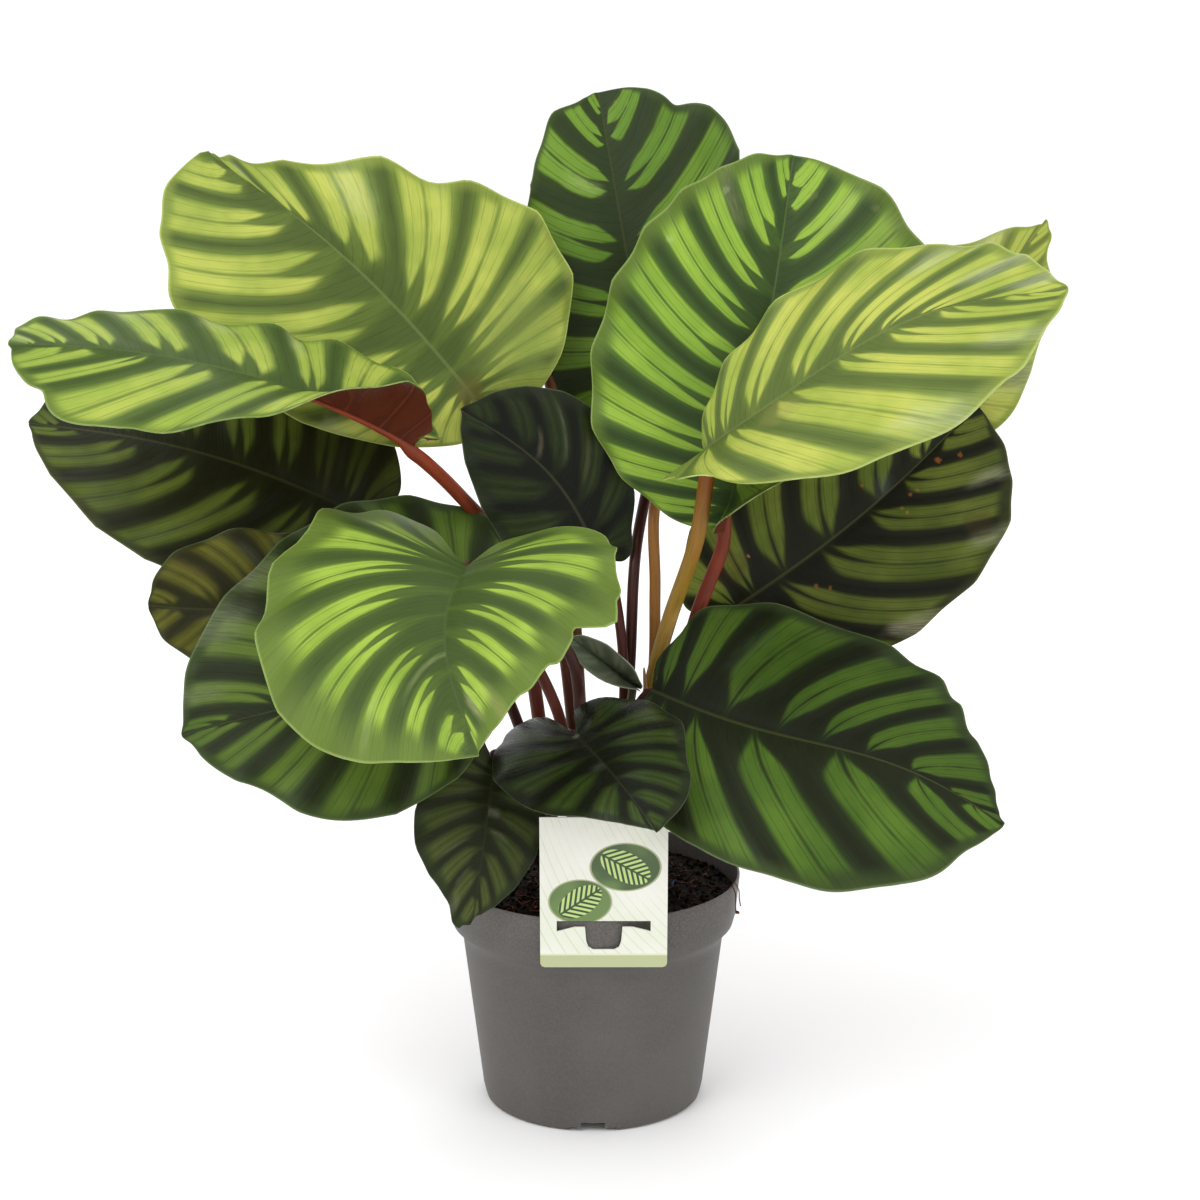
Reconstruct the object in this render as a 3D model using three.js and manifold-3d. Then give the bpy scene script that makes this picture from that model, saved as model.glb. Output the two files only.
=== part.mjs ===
// Potted calathea of the fasciata kind: a tapered nursery pot filled with soil, a clump of
// patterned leaves, each a waved blade on its own petiole, and a hang-on label card.
// Millimetres, +Z up. The origin is the middle of the pot's underside, and -Y is the front.
import * as THREE from 'three';
import { mergeVertices } from 'three/addons/utils/BufferGeometryUtils.js';
import Module from 'manifold-3d';

const wasm = await Module();
wasm.setup();

// Clearance between neighbouring pieces
const GAP = 0.3;

// Driving dimensions of the pot
const POT_HEIGHT = 136;
const RIM_RADIUS = 85.5;
const BAND_RADIUS = 83;
const BAND_BOTTOM = 113;
const NECK_RADIUS = 75.5;
const NECK_HEIGHT = 98.5;
const HEEL_RADIUS = 66;
const HEEL_HEIGHT = 21;
const FOOT_RADIUS = 60;
const WALL = 1.6;
const FLOOR = 4;
const POT_SIDES = 40;
const NOTCH_COUNT = 4;
const NOTCH_WIDTH = 27;
const NOTCH_START = 44;
const NOTCH_HEIGHT = 2.5;
const DRAIN_WIDTH = 13.5;
const DRAIN_START = 52;
const DRAIN_TOP = 6;

// Driving dimensions of the soil
const SOIL_EDGE = 124;
const SOIL_CROWN = 129;
const SOIL_TOP_RINGS = 4;
const SOIL_LUMP = 1.4;
const SOIL_GAP = 0.4;
const HOLE_SIDES = 8;

// Driving dimensions of the label card and of the flap that hooks it over the rim
const CARD_WIDTH = 70.5;
const CARD_MIDDLE = 6;
const CARD_BELOW_RIM = 28;
const CARD_ABOVE_RIM = 63;
const CARD_THICK = 0.8;
const CARD_CORNER = 2.5;
const CARD_LEAN = THREE.MathUtils.degToRad(6);
const FLAP_WIDTH = 52;
const FLAP_WING = 6.5;
const FLAP_NECK = 20;
const FLAP_TONGUE = 19;
const FLAP_DROP = 10;
const FLAP_CUT = 17;

// Driving dimensions that all leaves share
const BLADE_THICK = 0.8;
const ROW_PITCH = 10;
const FEWEST_ROWS = 8;
const BLADE_COLUMNS = [0, 0.4, 0.75, 1];
const WAVE_PITCH = 34;
const FEWEST_WAVES = 2;
const HALF_SHIFT = 0.8;
const TIP_POINT = 0.02;
const VEIN_LEAD = 1.7;
const PETIOLE_SIDES = 6;
const PETIOLE_STEPS = 3;
const PETIOLE_RADIUS = 3.3;
const PETIOLE_END = 1.8;
const SHEATH_RADIUS = 4.4;
const SHEATH_TOP = 190;
const ROOT_BOTTOM = 98;
const ROOT_TOP = 134;
const BEHIND_BASE = -11;
const UNDER_RUN = 9;
const SMALL_BLADE = 90;

// What a leaf has where its own entry says nothing. Pairs are right and left half, seen
// from above and looking from base to tip. Angles are in degrees.
// face: azimuth and elevation that the upper face looks to, azimuth 0 being the front
// arch: how far the midrib bends over its length; bow: its sideways bend, to the right
// fold, cup: rise of a half at the midrib, and its further turn on the way to the margin
// close: extra rise at the base, where the halves fold up round the petiole
// lobe: reach of a half behind the base, as a share of the length
// broad: how much wider a half is near the base than near the tip
// baseRound, tipRound: shape of the outline towards base and tip, small being full
// skew: how much wider the right half is than the left one
// root, via: where the petiole leaves the soil, and what it passes on its way up
const PLAIN_LEAF = {
  face: [0, 15],
  arch: 20,
  bow: 0,
  fold: [5, 5],
  cup: [-10, -10],
  close: [0, 0],
  lobe: [0.12, 0.12],
  broad: [0.12, 0.12],
  baseRound: [0.85, 0.85],
  tipRound: [0.8, 0.8],
  skew: 0,
  wave: 2.5,
  petiole: PETIOLE_RADIUS,
  via: [],
};

// Base and tip of each blade, its width and form, and the way of its petiole
const LEAVES = {
  top_left: {
    base: [-66, 35, 406], tip: [-217, 75, 541], width: 176, face: [-5, 25], arch: 25, bow: 2,
    fold: [8, 8], cup: [-22, -12], broad: [0.58, -0.15], baseRound: [1, 1.5],
    tipRound: [1.8, 0.6], skew: 0.02, wave: 3.5, root: [-4, 6], via: [[-24, 36, 300]],
  },
  side_left: {
    base: [-99, -10, 389], tip: [-308, -55, 453], width: 116, face: [0, 66], arch: 36,
    fold: [-3, -15], cup: [-8, -8], close: [12, 115], lobe: [0.12, 0.05], broad: [0.1, 0],
    tipRound: [0.8, 0.5], skew: -0.1, wave: 3, petiole: 4, root: [-20, -10],
    via: [[-37, 4, 268], [-53, 33, 322], [-76, 18, 355]],
  },
  mid_left: {
    base: [-130, 39, 337], tip: [-324, 65, 387], width: 140, face: [0, 30],
    cup: [-15, -15], lobe: [0.08, 0.12], tipRound: [0.97, 0.97], skew: 0.08,
    root: [-14, 2], via: [[-60, 22, 257]],
  },
  small_left: {
    base: [-149, 2, 303], tip: [-250, -2, 295], width: 86, face: [0, 12], arch: 15,
    root: [-26, 4], via: [[-85, 6, 242]],
  },
  low_left: {
    base: [-55, -25, 285], tip: [-222, -75, 241], width: 182, face: [0, 32], arch: 25,
    cup: [-20, -20], lobe: [0.12, 0.02], broad: [0.2, 0], baseRound: [0.65, 1.1],
    tipRound: [1.1, 1.15], skew: 0.1, root: [-8, -16], via: [[-20, -27, 240]],
  },
  front: {
    base: [-69, -65, 333], tip: [-59, -185, 264], width: 188, face: [-12, 48], arch: 42,
    bow: 12, cup: [-20, -28], close: [32, 10], lobe: [0.32, 0.14], broad: [0, 0.6],
    baseRound: [0.77, 0.85], tipRound: [0.45, 1.7], skew: 0.06, wave: 3.5,
    root: [6, -19], via: [[-6, -34, 231], [-14, -42, 279]],
  },
  centre: {
    base: [4, 30, 314], tip: [-73, 16, 403], width: 89, bow: 12, broad: [-0.15, 0.15],
    tipRound: [0.85, 1.6], skew: -0.02, petiole: 2.9, root: [8, -2],
    via: [[18, 12, 250]],
  },
  top_back: {
    base: [36, 75, 390], tip: [4, 115, 570], width: 140, fold: [8, 8], broad: [0, 0.1],
    baseRound: [0.85, 1.3], tipRound: [0.42, 0.8], skew: 0.1, wave: 3.5,
    root: [10, 14], via: [[21, 22, 246], [25, 42, 316]],
  },
  top_right: {
    base: [74, 5, 336], tip: [112, 35, 541], width: 190, face: [-10, 15], bow: 5,
    fold: [8, 8], cup: [-15, -15], close: [95, 0], lobe: [0.02, 0.02], broad: [-0.1, 0.1],
    baseRound: [1.4, 0.85], tipRound: [0.6, 0.95], wave: 3.5, petiole: 4,
    root: [34, -8], via: [[57, 7, 278]],
  },
  side_right: {
    base: [61, -35, 391], tip: [247, -80, 486], width: 134, face: [0, 48], arch: 18,
    bow: -11, fold: [-2, 5], cup: [-8, -8], close: [47, 0], lobe: [0.14, 0],
    broad: [0.29, 0.05], baseRound: [0.7, 1.05], tipRound: [0.9, 1], skew: 0.1, wave: 3,
    petiole: 4.4, root: [21, -6], via: [[33, 0, 244], [43, 0, 284], [58, -22, 338]],
  },
  far_right: {
    base: [171, 75, 381], tip: [263, 100, 499], width: 96, arch: 15, fold: [8, 8],
    lobe: [0.05, 0.05], broad: [0.25, -0.15], tipRound: [0.95, 2.5], skew: -0.05,
    root: [32, 20], via: [[58, 45, 240], [112, 76, 325]],
  },
  mid_right: {
    base: [76, 30, 281], tip: [220, 60, 396], width: 149, arch: 15, bow: 2, fold: [6, 6],
    broad: [-0.15, 0], baseRound: [0.85, 1.3], tipRound: [0.75, 0.9], skew: 0.06,
    root: [34, 6], via: [[52, 20, 220]],
  },
  low_right: {
    base: [33, -37, 255], tip: [223, -82, 193], width: 160, face: [0, 45], arch: 25,
    cup: [-15, -15], lobe: [0.05, 0.05], broad: [0.12, 0.2], baseRound: [0.75, 0.65],
    tipRound: [0.9, 1.45], skew: 0.06, root: [20, -27], via: [[18, -33, 225]],
  },
  front_low: {
    base: [-10, -78, 241], tip: [33, -138, 206], width: 103, face: [-5, 48], arch: 38,
    fold: [2, 2], cup: [-28, -28], lobe: [0.65, 0.35], broad: [0.3, 0.1],
    tipRound: [1.9, 0.9], skew: -0.08, wave: 1.5, root: [2, -32], via: [[-8, -52, 205]],
  },
  rim_left: {
    base: [-55, -52, 215], tip: [-66, -84, 138], width: 68, face: [5, 25],
    fold: [12, 12], lobe: [0.2, 0.2], broad: [0.1, 0.1], baseRound: [0.5, 0.5],
    tipRound: [1.2, 1.5], skew: 0.06, wave: 1, root: [-18, -24], via: [[-40, -36, 195]],
  },
  back_left: {
    base: [-51, 95, 434], tip: [-150, 190, 480], width: 118, face: [0, 60],
    root: [-2, 22], via: [[-14, 46, 330], [-25, 57, 413]],
  },
  back_middle: {
    base: [64, 110, 375], tip: [80, 215, 440], width: 120, face: [0, 60],
    root: [22, 12], via: [[35, 22, 246], [36, 30, 297], [37, 48, 346]],
  },
  back_right: {
    base: [124, 110, 344], tip: [205, 205, 310], width: 110, face: [0, 70],
    root: [16, 26], via: [[60, 62, 250]],
  },
  young: {
    base: [22, -7, 250], tip: [-12, -14, 279], width: 34, face: [0, 30], arch: 10,
    fold: [12, 12], close: [50, 50], wave: 0.8, petiole: 2.4, root: [16, -16],
    via: [[19, -11, 225]],
  },
};

// The rolled new shoot beside the young leaf
const SHOOT = { root: [36, -18], via: [[31, -16, 232]], tip: [29, -15, 262], radius: 2.6 };

// The value for one half of a leaf: 1 is the right half, -1 the left one
const ofHalf = (pair, hand) => (hand > 0 ? pair[0] : pair[1]);

// A closed body as plain lists of points and of triangles
class Body {
  constructor() {
    this.points = [];
    this.triangles = [];
  }

  add(point) {
    this.points.push(point);
    return this.points.length - 1;
  }

  face(...corners) {
    for (let i = 2; i < corners.length; i += 1) {
      this.triangles.push([corners[0], corners[i - 1], corners[i]]);
    }
  }

  geometry() {
    const geometry = new THREE.BufferGeometry();
    const positions = this.points.flatMap((point) => point.toArray());
    geometry.setAttribute('position', new THREE.Float32BufferAttribute(positions, 3));
    geometry.setIndex(this.triangles.flat());
    return geometry;
  }
}

// Closed skin over rings of equal count. A ring of one point is a pole, and an open end
// is closed flat. Rings turn counter-clockwise round the way they follow each other.
function skin(rings) {
  const body = new Body();
  const ids = rings.map((ring) => ring.map((point) => body.add(point)));
  const sides = Math.max(...ids.map((ring) => ring.length));
  for (let i = 1; i < ids.length; i += 1) {
    const [low, high] = [ids[i - 1], ids[i]];
    for (let j = 0; j < sides; j += 1) {
      const k = (j + 1) % sides;
      if (low.length === 1) {
        body.face(low[0], high[k], high[j]);
      } else if (high.length === 1) {
        body.face(low[j], low[k], high[0]);
      } else {
        body.face(low[j], low[k], high[k], high[j]);
      }
    }
  }
  if (ids[0].length > 1) {
    body.face(...[...ids[0]].reverse());
  }
  if (ids[ids.length - 1].length > 1) {
    body.face(...ids[ids.length - 1]);
  }
  return body;
}

// A level ring of the given radius, or a pole where the radius is nought
function ring(radius, z, sides, lift = () => 0) {
  if (radius === 0) {
    return [new THREE.Vector3(0, 0, z + lift(0, 0))];
  }
  return Array.from({ length: sides }, (_, i) => {
    const angle = (2 * Math.PI * i) / sides;
    const height = z + lift(radius, angle);
    return new THREE.Vector3(radius * Math.cos(angle), radius * Math.sin(angle), height);
  });
}

function toSolid(geometry) {
  const plain = geometry.clone();
  plain.deleteAttribute('normal');
  plain.deleteAttribute('uv');
  const merged = mergeVertices(plain, 1e-4);
  return new wasm.Manifold(new wasm.Mesh({
    numProp: 3,
    vertProperties: new Float32Array(merged.attributes.position.array),
    triVerts: new Uint32Array(merged.index.array),
  }));
}

function toGeometry(solid) {
  const mesh = solid.getMesh();
  const positions = [];
  for (let i = 0; i < mesh.vertProperties.length; i += mesh.numProp) {
    positions.push(...mesh.vertProperties.slice(i, i + 3));
  }
  const geometry = new THREE.BufferGeometry();
  geometry.setAttribute('position', new THREE.Float32BufferAttribute(positions, 3));
  geometry.setIndex(Array.from(mesh.triVerts));
  return geometry;
}

function boxSolid([x0, x1], [y0, y1], [z0, z1]) {
  return wasm.Manifold.cube([x1 - x0, y1 - y0, z1 - z0]).translate([x0, y0, z0]);
}

// Outer wall of the pot as radius and height, from the foot to the lip
const POT_OUTSIDE = [
  [FOOT_RADIUS, 0],
  [FOOT_RADIUS + 2.8, 1.4],
  [FOOT_RADIUS + 4.4, 8],
  [HEEL_RADIUS, HEEL_HEIGHT],
  [NECK_RADIUS, NECK_HEIGHT],
  [NECK_RADIUS + 2, NECK_HEIGHT + 4.5],
  [BAND_RADIUS - 1.5, BAND_BOTTOM - 5.5],
  [BAND_RADIUS, BAND_BOTTOM],
  [RIM_RADIUS, POT_HEIGHT - 0.8],
  [RIM_RADIUS - 0.3, POT_HEIGHT],
];

// Inner wall from the lip down to the floor
const POT_INSIDE = [
  [RIM_RADIUS - WALL, POT_HEIGHT],
  [BAND_RADIUS - WALL, BAND_BOTTOM + 0.8],
  [NECK_RADIUS - WALL, NECK_HEIGHT + 0.5],
  [HEEL_RADIUS - WALL, HEEL_HEIGHT],
  [FOOT_RADIUS + 2.5, 8],
  [FOOT_RADIUS - 0.5, FLOOR],
];

function makePot() {
  const profile = [[0, 0], ...POT_OUTSIDE, ...POT_INSIDE, [0, FLOOR]];
  const shell = skin(profile.map(([radius, z]) => ring(radius, z, POT_SIDES)));
  const reach = RIM_RADIUS;
  const notch = boxSolid([-NOTCH_WIDTH / 2, NOTCH_WIDTH / 2], [-reach, -NOTCH_START], [-1, NOTCH_HEIGHT]);
  const drain = boxSolid([-DRAIN_WIDTH / 2, DRAIN_WIDTH / 2], [-reach, -DRAIN_START], [-1, DRAIN_TOP]);
  let pot = toSolid(shell.geometry());
  for (let i = 0; i < NOTCH_COUNT; i += 1) {
    const turn = [0, 0, (360 * i) / NOTCH_COUNT];
    pot = pot.subtract(notch.rotate(turn)).subtract(drain.rotate(turn));
  }
  return toGeometry(pot);
}

// Radius of the pot's inside at a height
function insideRadius(z) {
  for (let i = 1; i < POT_INSIDE.length; i += 1) {
    const [[r1, z1], [r0, z0]] = [POT_INSIDE[i - 1], POT_INSIDE[i]];
    if (z <= z1 && z >= z0) {
      return r0 + ((r1 - r0) * (z - z0)) / (z1 - z0);
    }
  }
  return 0;
}

function makeSoil() {
  const edge = insideRadius(SOIL_EDGE) - SOIL_GAP;
  const lumps = (radius, angle) => {
    const share = radius / edge;
    const dome = (SOIL_CROWN - SOIL_EDGE) * (1 - share * share);
    const lump = Math.sin(5 * angle + radius / 7) * Math.cos(3 * angle - radius / 11);
    return dome + SOIL_LUMP * lump * (1 - share ** 6);
  };
  const walls = POT_INSIDE.filter(([, z]) => z < SOIL_EDGE && z > FLOOR).reverse();
  const rings = [ring(0, FLOOR + GAP, POT_SIDES), ring(FOOT_RADIUS - 1, FLOOR + GAP, POT_SIDES)];
  walls.forEach(([radius, z]) => rings.push(ring(radius - SOIL_GAP, z, POT_SIDES)));
  rings.push(ring(edge, SOIL_EDGE, POT_SIDES));
  for (let i = 1; i < SOIL_TOP_RINGS; i += 1) {
    rings.push(ring(edge * (1 - i / SOIL_TOP_RINGS), SOIL_EDGE, POT_SIDES, lumps));
  }
  rings.push(ring(0, SOIL_EDGE, POT_SIDES, lumps));
  let soil = toSolid(skin(rings).geometry());
  const holes = [...Object.values(LEAVES).map((leaf) => leaf.root), SHOOT.root];
  const holeRadius = (SHEATH_RADIUS + GAP) / Math.cos(Math.PI / HOLE_SIDES);
  holes.forEach(([x, y]) => {
    const depth = SOIL_CROWN + 10 - ROOT_BOTTOM;
    const hole = wasm.Manifold.cylinder(depth, holeRadius, holeRadius, HOLE_SIDES);
    soil = soil.subtract(hole.translate([x, y, ROOT_BOTTOM - GAP]));
  });
  return toGeometry(soil);
}

// The card with its flap cut free on three sides, bent back over the rim and hanging inside
function makeCard() {
  const [left, right] = [CARD_MIDDLE - CARD_WIDTH / 2, CARD_MIDDLE + CARD_WIDTH / 2];
  const outline = new THREE.Shape([
    new THREE.Vector2(left, CARD_ABOVE_RIM),
    new THREE.Vector2(left, CARD_CORNER - CARD_BELOW_RIM),
    new THREE.Vector2(left + CARD_CORNER * 0.3, CARD_CORNER * 0.3 - CARD_BELOW_RIM),
    new THREE.Vector2(left + CARD_CORNER, -CARD_BELOW_RIM),
    new THREE.Vector2(right - CARD_CORNER, -CARD_BELOW_RIM),
    new THREE.Vector2(right - CARD_CORNER * 0.3, CARD_CORNER * 0.3 - CARD_BELOW_RIM),
    new THREE.Vector2(right, CARD_CORNER - CARD_BELOW_RIM),
    new THREE.Vector2(right, CARD_ABOVE_RIM),
  ]);
  const rightHalf = [
    [FLAP_WIDTH / 2, 0.4],
    [FLAP_WIDTH / 2, -FLAP_WING + 0.5],
    [FLAP_WIDTH / 2 - 10, -FLAP_WING / 2],
    [FLAP_NECK / 2 + 0.4, -FLAP_WING / 2],
    [FLAP_NECK / 2 - 0.3, -FLAP_CUT + 5],
    [FLAP_NECK / 2 - 1.5, -FLAP_CUT + 1.5],
    [FLAP_NECK / 2 - 4, -FLAP_CUT],
  ];
  const leftHalf = rightHalf.map(([x, z]) => [-x, z]).reverse();
  const corners = [...rightHalf, ...leftHalf];
  outline.holes.push(new THREE.Path(corners.map(([x, z]) => new THREE.Vector2(x + CARD_MIDDLE, z))));
  const plate = new THREE.ExtrudeGeometry(outline, { depth: CARD_THICK, bevelEnabled: false });
  plate.rotateX(Math.PI / 2 + CARD_LEAN);
  const front = -(RIM_RADIUS + GAP + 0.2);
  plate.translate(0, front, POT_HEIGHT);
  const farCorner = CARD_MIDDLE + FLAP_TONGUE / 2;
  const wallBehind = insideRadius(POT_HEIGHT - FLAP_DROP) * Math.cos(Math.PI / POT_SIDES);
  const inner = GAP - Math.sqrt(wallBehind ** 2 - farCorner ** 2);
  const [low, high] = [POT_HEIGHT + GAP, POT_HEIGHT + GAP + CARD_THICK];
  const across = (width) => [CARD_MIDDLE - width / 2, CARD_MIDDLE + width / 2];
  const bar = boxSolid(across(FLAP_WIDTH), [front - CARD_THICK / 2, inner + CARD_THICK], [low, high]);
  const tongue = boxSolid(across(FLAP_TONGUE), [inner, inner + CARD_THICK], [POT_HEIGHT - FLAP_DROP, high]);
  return toGeometry(toSolid(plate).add(bar).add(tongue));
}

// The frame of a leaf: its base, the ways along, up and aside, its length and its margin waves
function leafFrame(leaf) {
  const base = new THREE.Vector3(...leaf.base);
  const along = new THREE.Vector3(...leaf.tip).sub(base);
  const chord = along.length();
  along.normalize();
  const [azimuth, elevation] = leaf.face.map(THREE.MathUtils.degToRad);
  const up = new THREE.Vector3(
    Math.sin(azimuth) * Math.cos(elevation),
    -Math.cos(azimuth) * Math.cos(elevation),
    Math.sin(elevation),
  );
  up.addScaledVector(along, -up.dot(along)).normalize();
  const side = new THREE.Vector3().crossVectors(along, up);
  const arch = THREE.MathUtils.degToRad(leaf.arch);
  const radius = chord / (2 * Math.sin(arch / 2));
  const length = radius * arch;
  const waves = Math.max(FEWEST_WAVES, Math.round(length / WAVE_PITCH));
  return { base, along, up, side, arch, radius, length, waves };
}

// Flat place of a point of a half leaf: s runs along the margin from base to tip, in the
// order of the side veins, and t along a side vein from the midrib to the margin
function flatPlace(leaf, length, s, t, hand) {
  const lobe = ofHalf(leaf.lobe, hand);
  const turn = Math.PI * s;
  const round = ofHalf(s < 0.5 ? leaf.baseRound : leaf.tipRound, hand);
  const spread = Math.max(Math.sin(turn), 0) ** round * (1 + ofHalf(leaf.broad, hand) * Math.cos(turn));
  let reach = (1 - lobe) / 2 - ((1 + lobe) / 2) * Math.cos(turn);
  reach += s < 0.5 ? lobe * Math.exp(-((spread / 0.16) ** 2)) : 0;
  reach += TIP_POINT * Math.exp(-(((1 - s) / 0.03) ** 2));
  const start = s ** VEIN_LEAD;
  const half = (leaf.width / 2) * (1 + hand * leaf.skew);
  return [(start + (reach - start) * (0.55 * t + 0.45 * t * t)) * length, spread * half * t];
}

// Point over the bent midrib: x along it, with a sideways and an upward offset
function overMidrib(frame, x, sideways, upward) {
  const angle = x / frame.radius - frame.arch / 2;
  const far = frame.radius * (Math.sin(angle) + Math.sin(frame.arch / 2)) + Math.sin(angle) * upward;
  const high = frame.radius * (Math.cos(angle) - Math.cos(frame.arch / 2)) + Math.cos(angle) * upward;
  return frame.base.clone()
    .addScaledVector(frame.along, far)
    .addScaledVector(frame.up, high)
    .addScaledVector(frame.side, sideways);
}

// Sideways bend of the midrib at x
function bowAt(leaf, frame, x) {
  const share = THREE.MathUtils.clamp(x / frame.length, 0, 1);
  return leaf.bow * Math.sin(Math.PI * share);
}

// Point of the middle surface of a blade
function bladePoint(leaf, frame, s, t, hand) {
  const [x, y] = flatPlace(leaf, frame.length, s, t, hand);
  const share = THREE.MathUtils.clamp(x / frame.length, 0, 1);
  const closing = ofHalf(leaf.close, hand) * (1 - share) ** 2;
  const fold = THREE.MathUtils.degToRad(ofHalf(leaf.fold, hand) + closing);
  const bend = THREE.MathUtils.degToRad(ofHalf(leaf.cup, hand)) / (leaf.width / 2);
  const sideways = (Math.sin(fold + bend * y) - Math.sin(fold)) / bend;
  const rise = (Math.cos(fold) - Math.cos(fold + bend * y)) / bend;
  const phase = 2 * Math.PI * frame.waves * s + (hand > 0 ? HALF_SHIFT : 0);
  const wave = leaf.wave * t ** 3 * Math.sin(Math.PI * s) * Math.cos(phase);
  return overMidrib(frame, x, hand * sideways + bowAt(leaf, frame, x), rise + wave);
}

// A blade: its middle surface, thickened evenly, with the same triangles on both faces
function makeBlade(leaf) {
  const frame = leafFrame(leaf);
  const columns = [];
  [...BLADE_COLUMNS].reverse().forEach((t) => columns.push([t, -1]));
  BLADE_COLUMNS.slice(1).forEach((t) => columns.push([t, 1]));
  const middle = [bladePoint(leaf, frame, 0, 0, 1)];
  const rows = [];
  const rowCount = Math.max(FEWEST_ROWS, Math.round(frame.length / ROW_PITCH));
  for (let i = 1; i < rowCount; i += 1) {
    rows.push(columns.map(([t, hand]) => {
      middle.push(bladePoint(leaf, frame, i / rowCount, t, hand));
      return middle.length - 1;
    }));
  }
  middle.push(bladePoint(leaf, frame, 1, 1, 1));
  const tip = middle.length - 1;
  const faces = [];
  const [first, last] = [rows[0], rows[rows.length - 1]];
  for (let j = 1; j < columns.length; j += 1) {
    faces.push([0, first[j], first[j - 1]]);
    faces.push([tip, last[j - 1], last[j]]);
    for (let i = 1; i < rows.length; i += 1) {
      const [near, next] = [rows[i - 1], rows[i]];
      if (j > BLADE_COLUMNS.length - 1) {
        faces.push([near[j - 1], near[j], next[j - 1]], [near[j], next[j], next[j - 1]]);
      } else {
        faces.push([near[j - 1], near[j], next[j]], [near[j - 1], next[j], next[j - 1]]);
      }
    }
  }
  const normals = middle.map(() => new THREE.Vector3());
  const triangle = new THREE.Triangle();
  faces.forEach(([a, b, c]) => {
    triangle.set(middle[a], middle[b], middle[c]);
    const weighted = triangle.getNormal(new THREE.Vector3()).multiplyScalar(triangle.getArea());
    [a, b, c].forEach((id) => normals[id].add(weighted));
  });
  const body = new Body();
  normals.forEach((normal) => normal.normalize());
  const upper = middle.map((p, i) => body.add(p.clone().addScaledVector(normals[i], BLADE_THICK / 2)));
  const lower = middle.map((p, i) => body.add(p.clone().addScaledVector(normals[i], -BLADE_THICK / 2)));
  faces.forEach(([a, b, c]) => {
    body.face(upper[a], upper[b], upper[c]);
    body.face(lower[a], lower[c], lower[b]);
  });
  const end = columns.length - 1;
  const round = [0, ...rows.map((row) => row[end]), tip, ...rows.map((row) => row[0]).reverse()];
  round.forEach((from, i) => {
    const to = round[(i + 1) % round.length];
    body.face(upper[from], lower[from], lower[to], upper[to]);
  });
  return body.geometry();
}

// A tube round a path of points, each with its own radius, carried along without twist
function tube(path, radii, sides) {
  const ways = path.map((_, i) => {
    const from = path[Math.max(i - 1, 0)];
    const to = path[Math.min(i + 1, path.length - 1)];
    return to.clone().sub(from).normalize();
  });
  const across = new THREE.Vector3(1, 0, 0);
  across.addScaledVector(ways[0], -across.dot(ways[0])).normalize();
  const rings = path.map((point, i) => {
    if (i > 0) {
      across.applyQuaternion(new THREE.Quaternion().setFromUnitVectors(ways[i - 1], ways[i]));
    }
    const over = new THREE.Vector3().crossVectors(ways[i], across);
    return Array.from({ length: sides }, (_, j) => {
      const angle = (2 * Math.PI * j) / sides;
      return point.clone()
        .addScaledVector(across, radii[i] * Math.cos(angle))
        .addScaledVector(over, radii[i] * Math.sin(angle));
    });
  });
  return skin(rings).geometry();
}

// A stalk from its hole in the soil: a sheath that narrows on the way up
function stalk(root, way, radiusNear, steps) {
  const start = new THREE.Vector3(root[0], root[1], ROOT_TOP);
  const curve = new THREE.CatmullRomCurve3([start, ...way], false, 'centripetal');
  const path = [new THREE.Vector3(root[0], root[1], ROOT_BOTTOM), ...curve.getPoints(steps * way.length)];
  const last = path.length - 1;
  return tube(path, path.map((point, i) => radiusNear(point, last - i)), PETIOLE_SIDES);
}

// A petiole: it runs up from the soil and ends under the midrib of its blade
function makePetiole(leaf) {
  const frame = leafFrame(leaf);
  const share = Math.min(1, leaf.width / SMALL_BLADE);
  const under = (x, radius) => {
    const drop = radius + BLADE_THICK / 2 + GAP;
    return overMidrib(frame, x, bowAt(leaf, frame, x), -drop);
  };
  const way = [
    ...leaf.via.map((point) => new THREE.Vector3(...point)),
    under(BEHIND_BASE * share, leaf.petiole + 1.5),
    under(0, leaf.petiole),
    under(UNDER_RUN * share, PETIOLE_END),
  ];
  return stalk(leaf.root, way, (point, left) => {
    if (left < PETIOLE_STEPS) {
      return PETIOLE_END + ((leaf.petiole - PETIOLE_END) * left) / PETIOLE_STEPS;
    }
    const share = THREE.MathUtils.clamp((SHEATH_TOP - point.z) / (SHEATH_TOP - ROOT_TOP), 0, 1);
    return leaf.petiole + (SHEATH_RADIUS - leaf.petiole) * share;
  }, PETIOLE_STEPS);
}

function makeShoot() {
  const way = [...SHOOT.via, SHOOT.tip].map((point) => new THREE.Vector3(...point));
  const total = SHOOT.tip[2] - ROOT_TOP;
  return stalk(SHOOT.root, way, (point) => {
    const share = THREE.MathUtils.clamp((SHOOT.tip[2] - point.z) / total, 0, 1);
    return 0.4 + SHOOT.radius * Math.sqrt(share);
  }, 4);
}

const part = new THREE.Group();
part.name = 'potted_fasciata_calathea';

function place(name, geometry, colour, roughness = 0.6) {
  const mesh = new THREE.Mesh(geometry, new THREE.MeshStandardMaterial({ color: colour, roughness }));
  mesh.name = name;
  part.add(mesh);
}

place('pot', makePot(), 0x4a4745, 0.5);
place('soil', makeSoil(), 0x2a1c14, 0.95);
place('label_card', makeCard(), 0xe9ebd8, 0.5);
Object.entries(LEAVES).forEach(([name, entry]) => {
  const leaf = { ...PLAIN_LEAF, ...entry };
  place(`blade_${name}`, makeBlade(leaf), 0x5f8f35);
  place(`petiole_${name}`, makePetiole(leaf), 0x6e3322);
});
place('new_shoot', makeShoot(), 0xa9776a);

export default part;
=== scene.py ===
# Potted calathea of the fasciata kind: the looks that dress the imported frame.
# Tables are in millimetres and degrees, in the frame's own axes. Meshes are made in metres.
import math
import random

import bpy
import numpy as np
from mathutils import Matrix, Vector, noise


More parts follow.
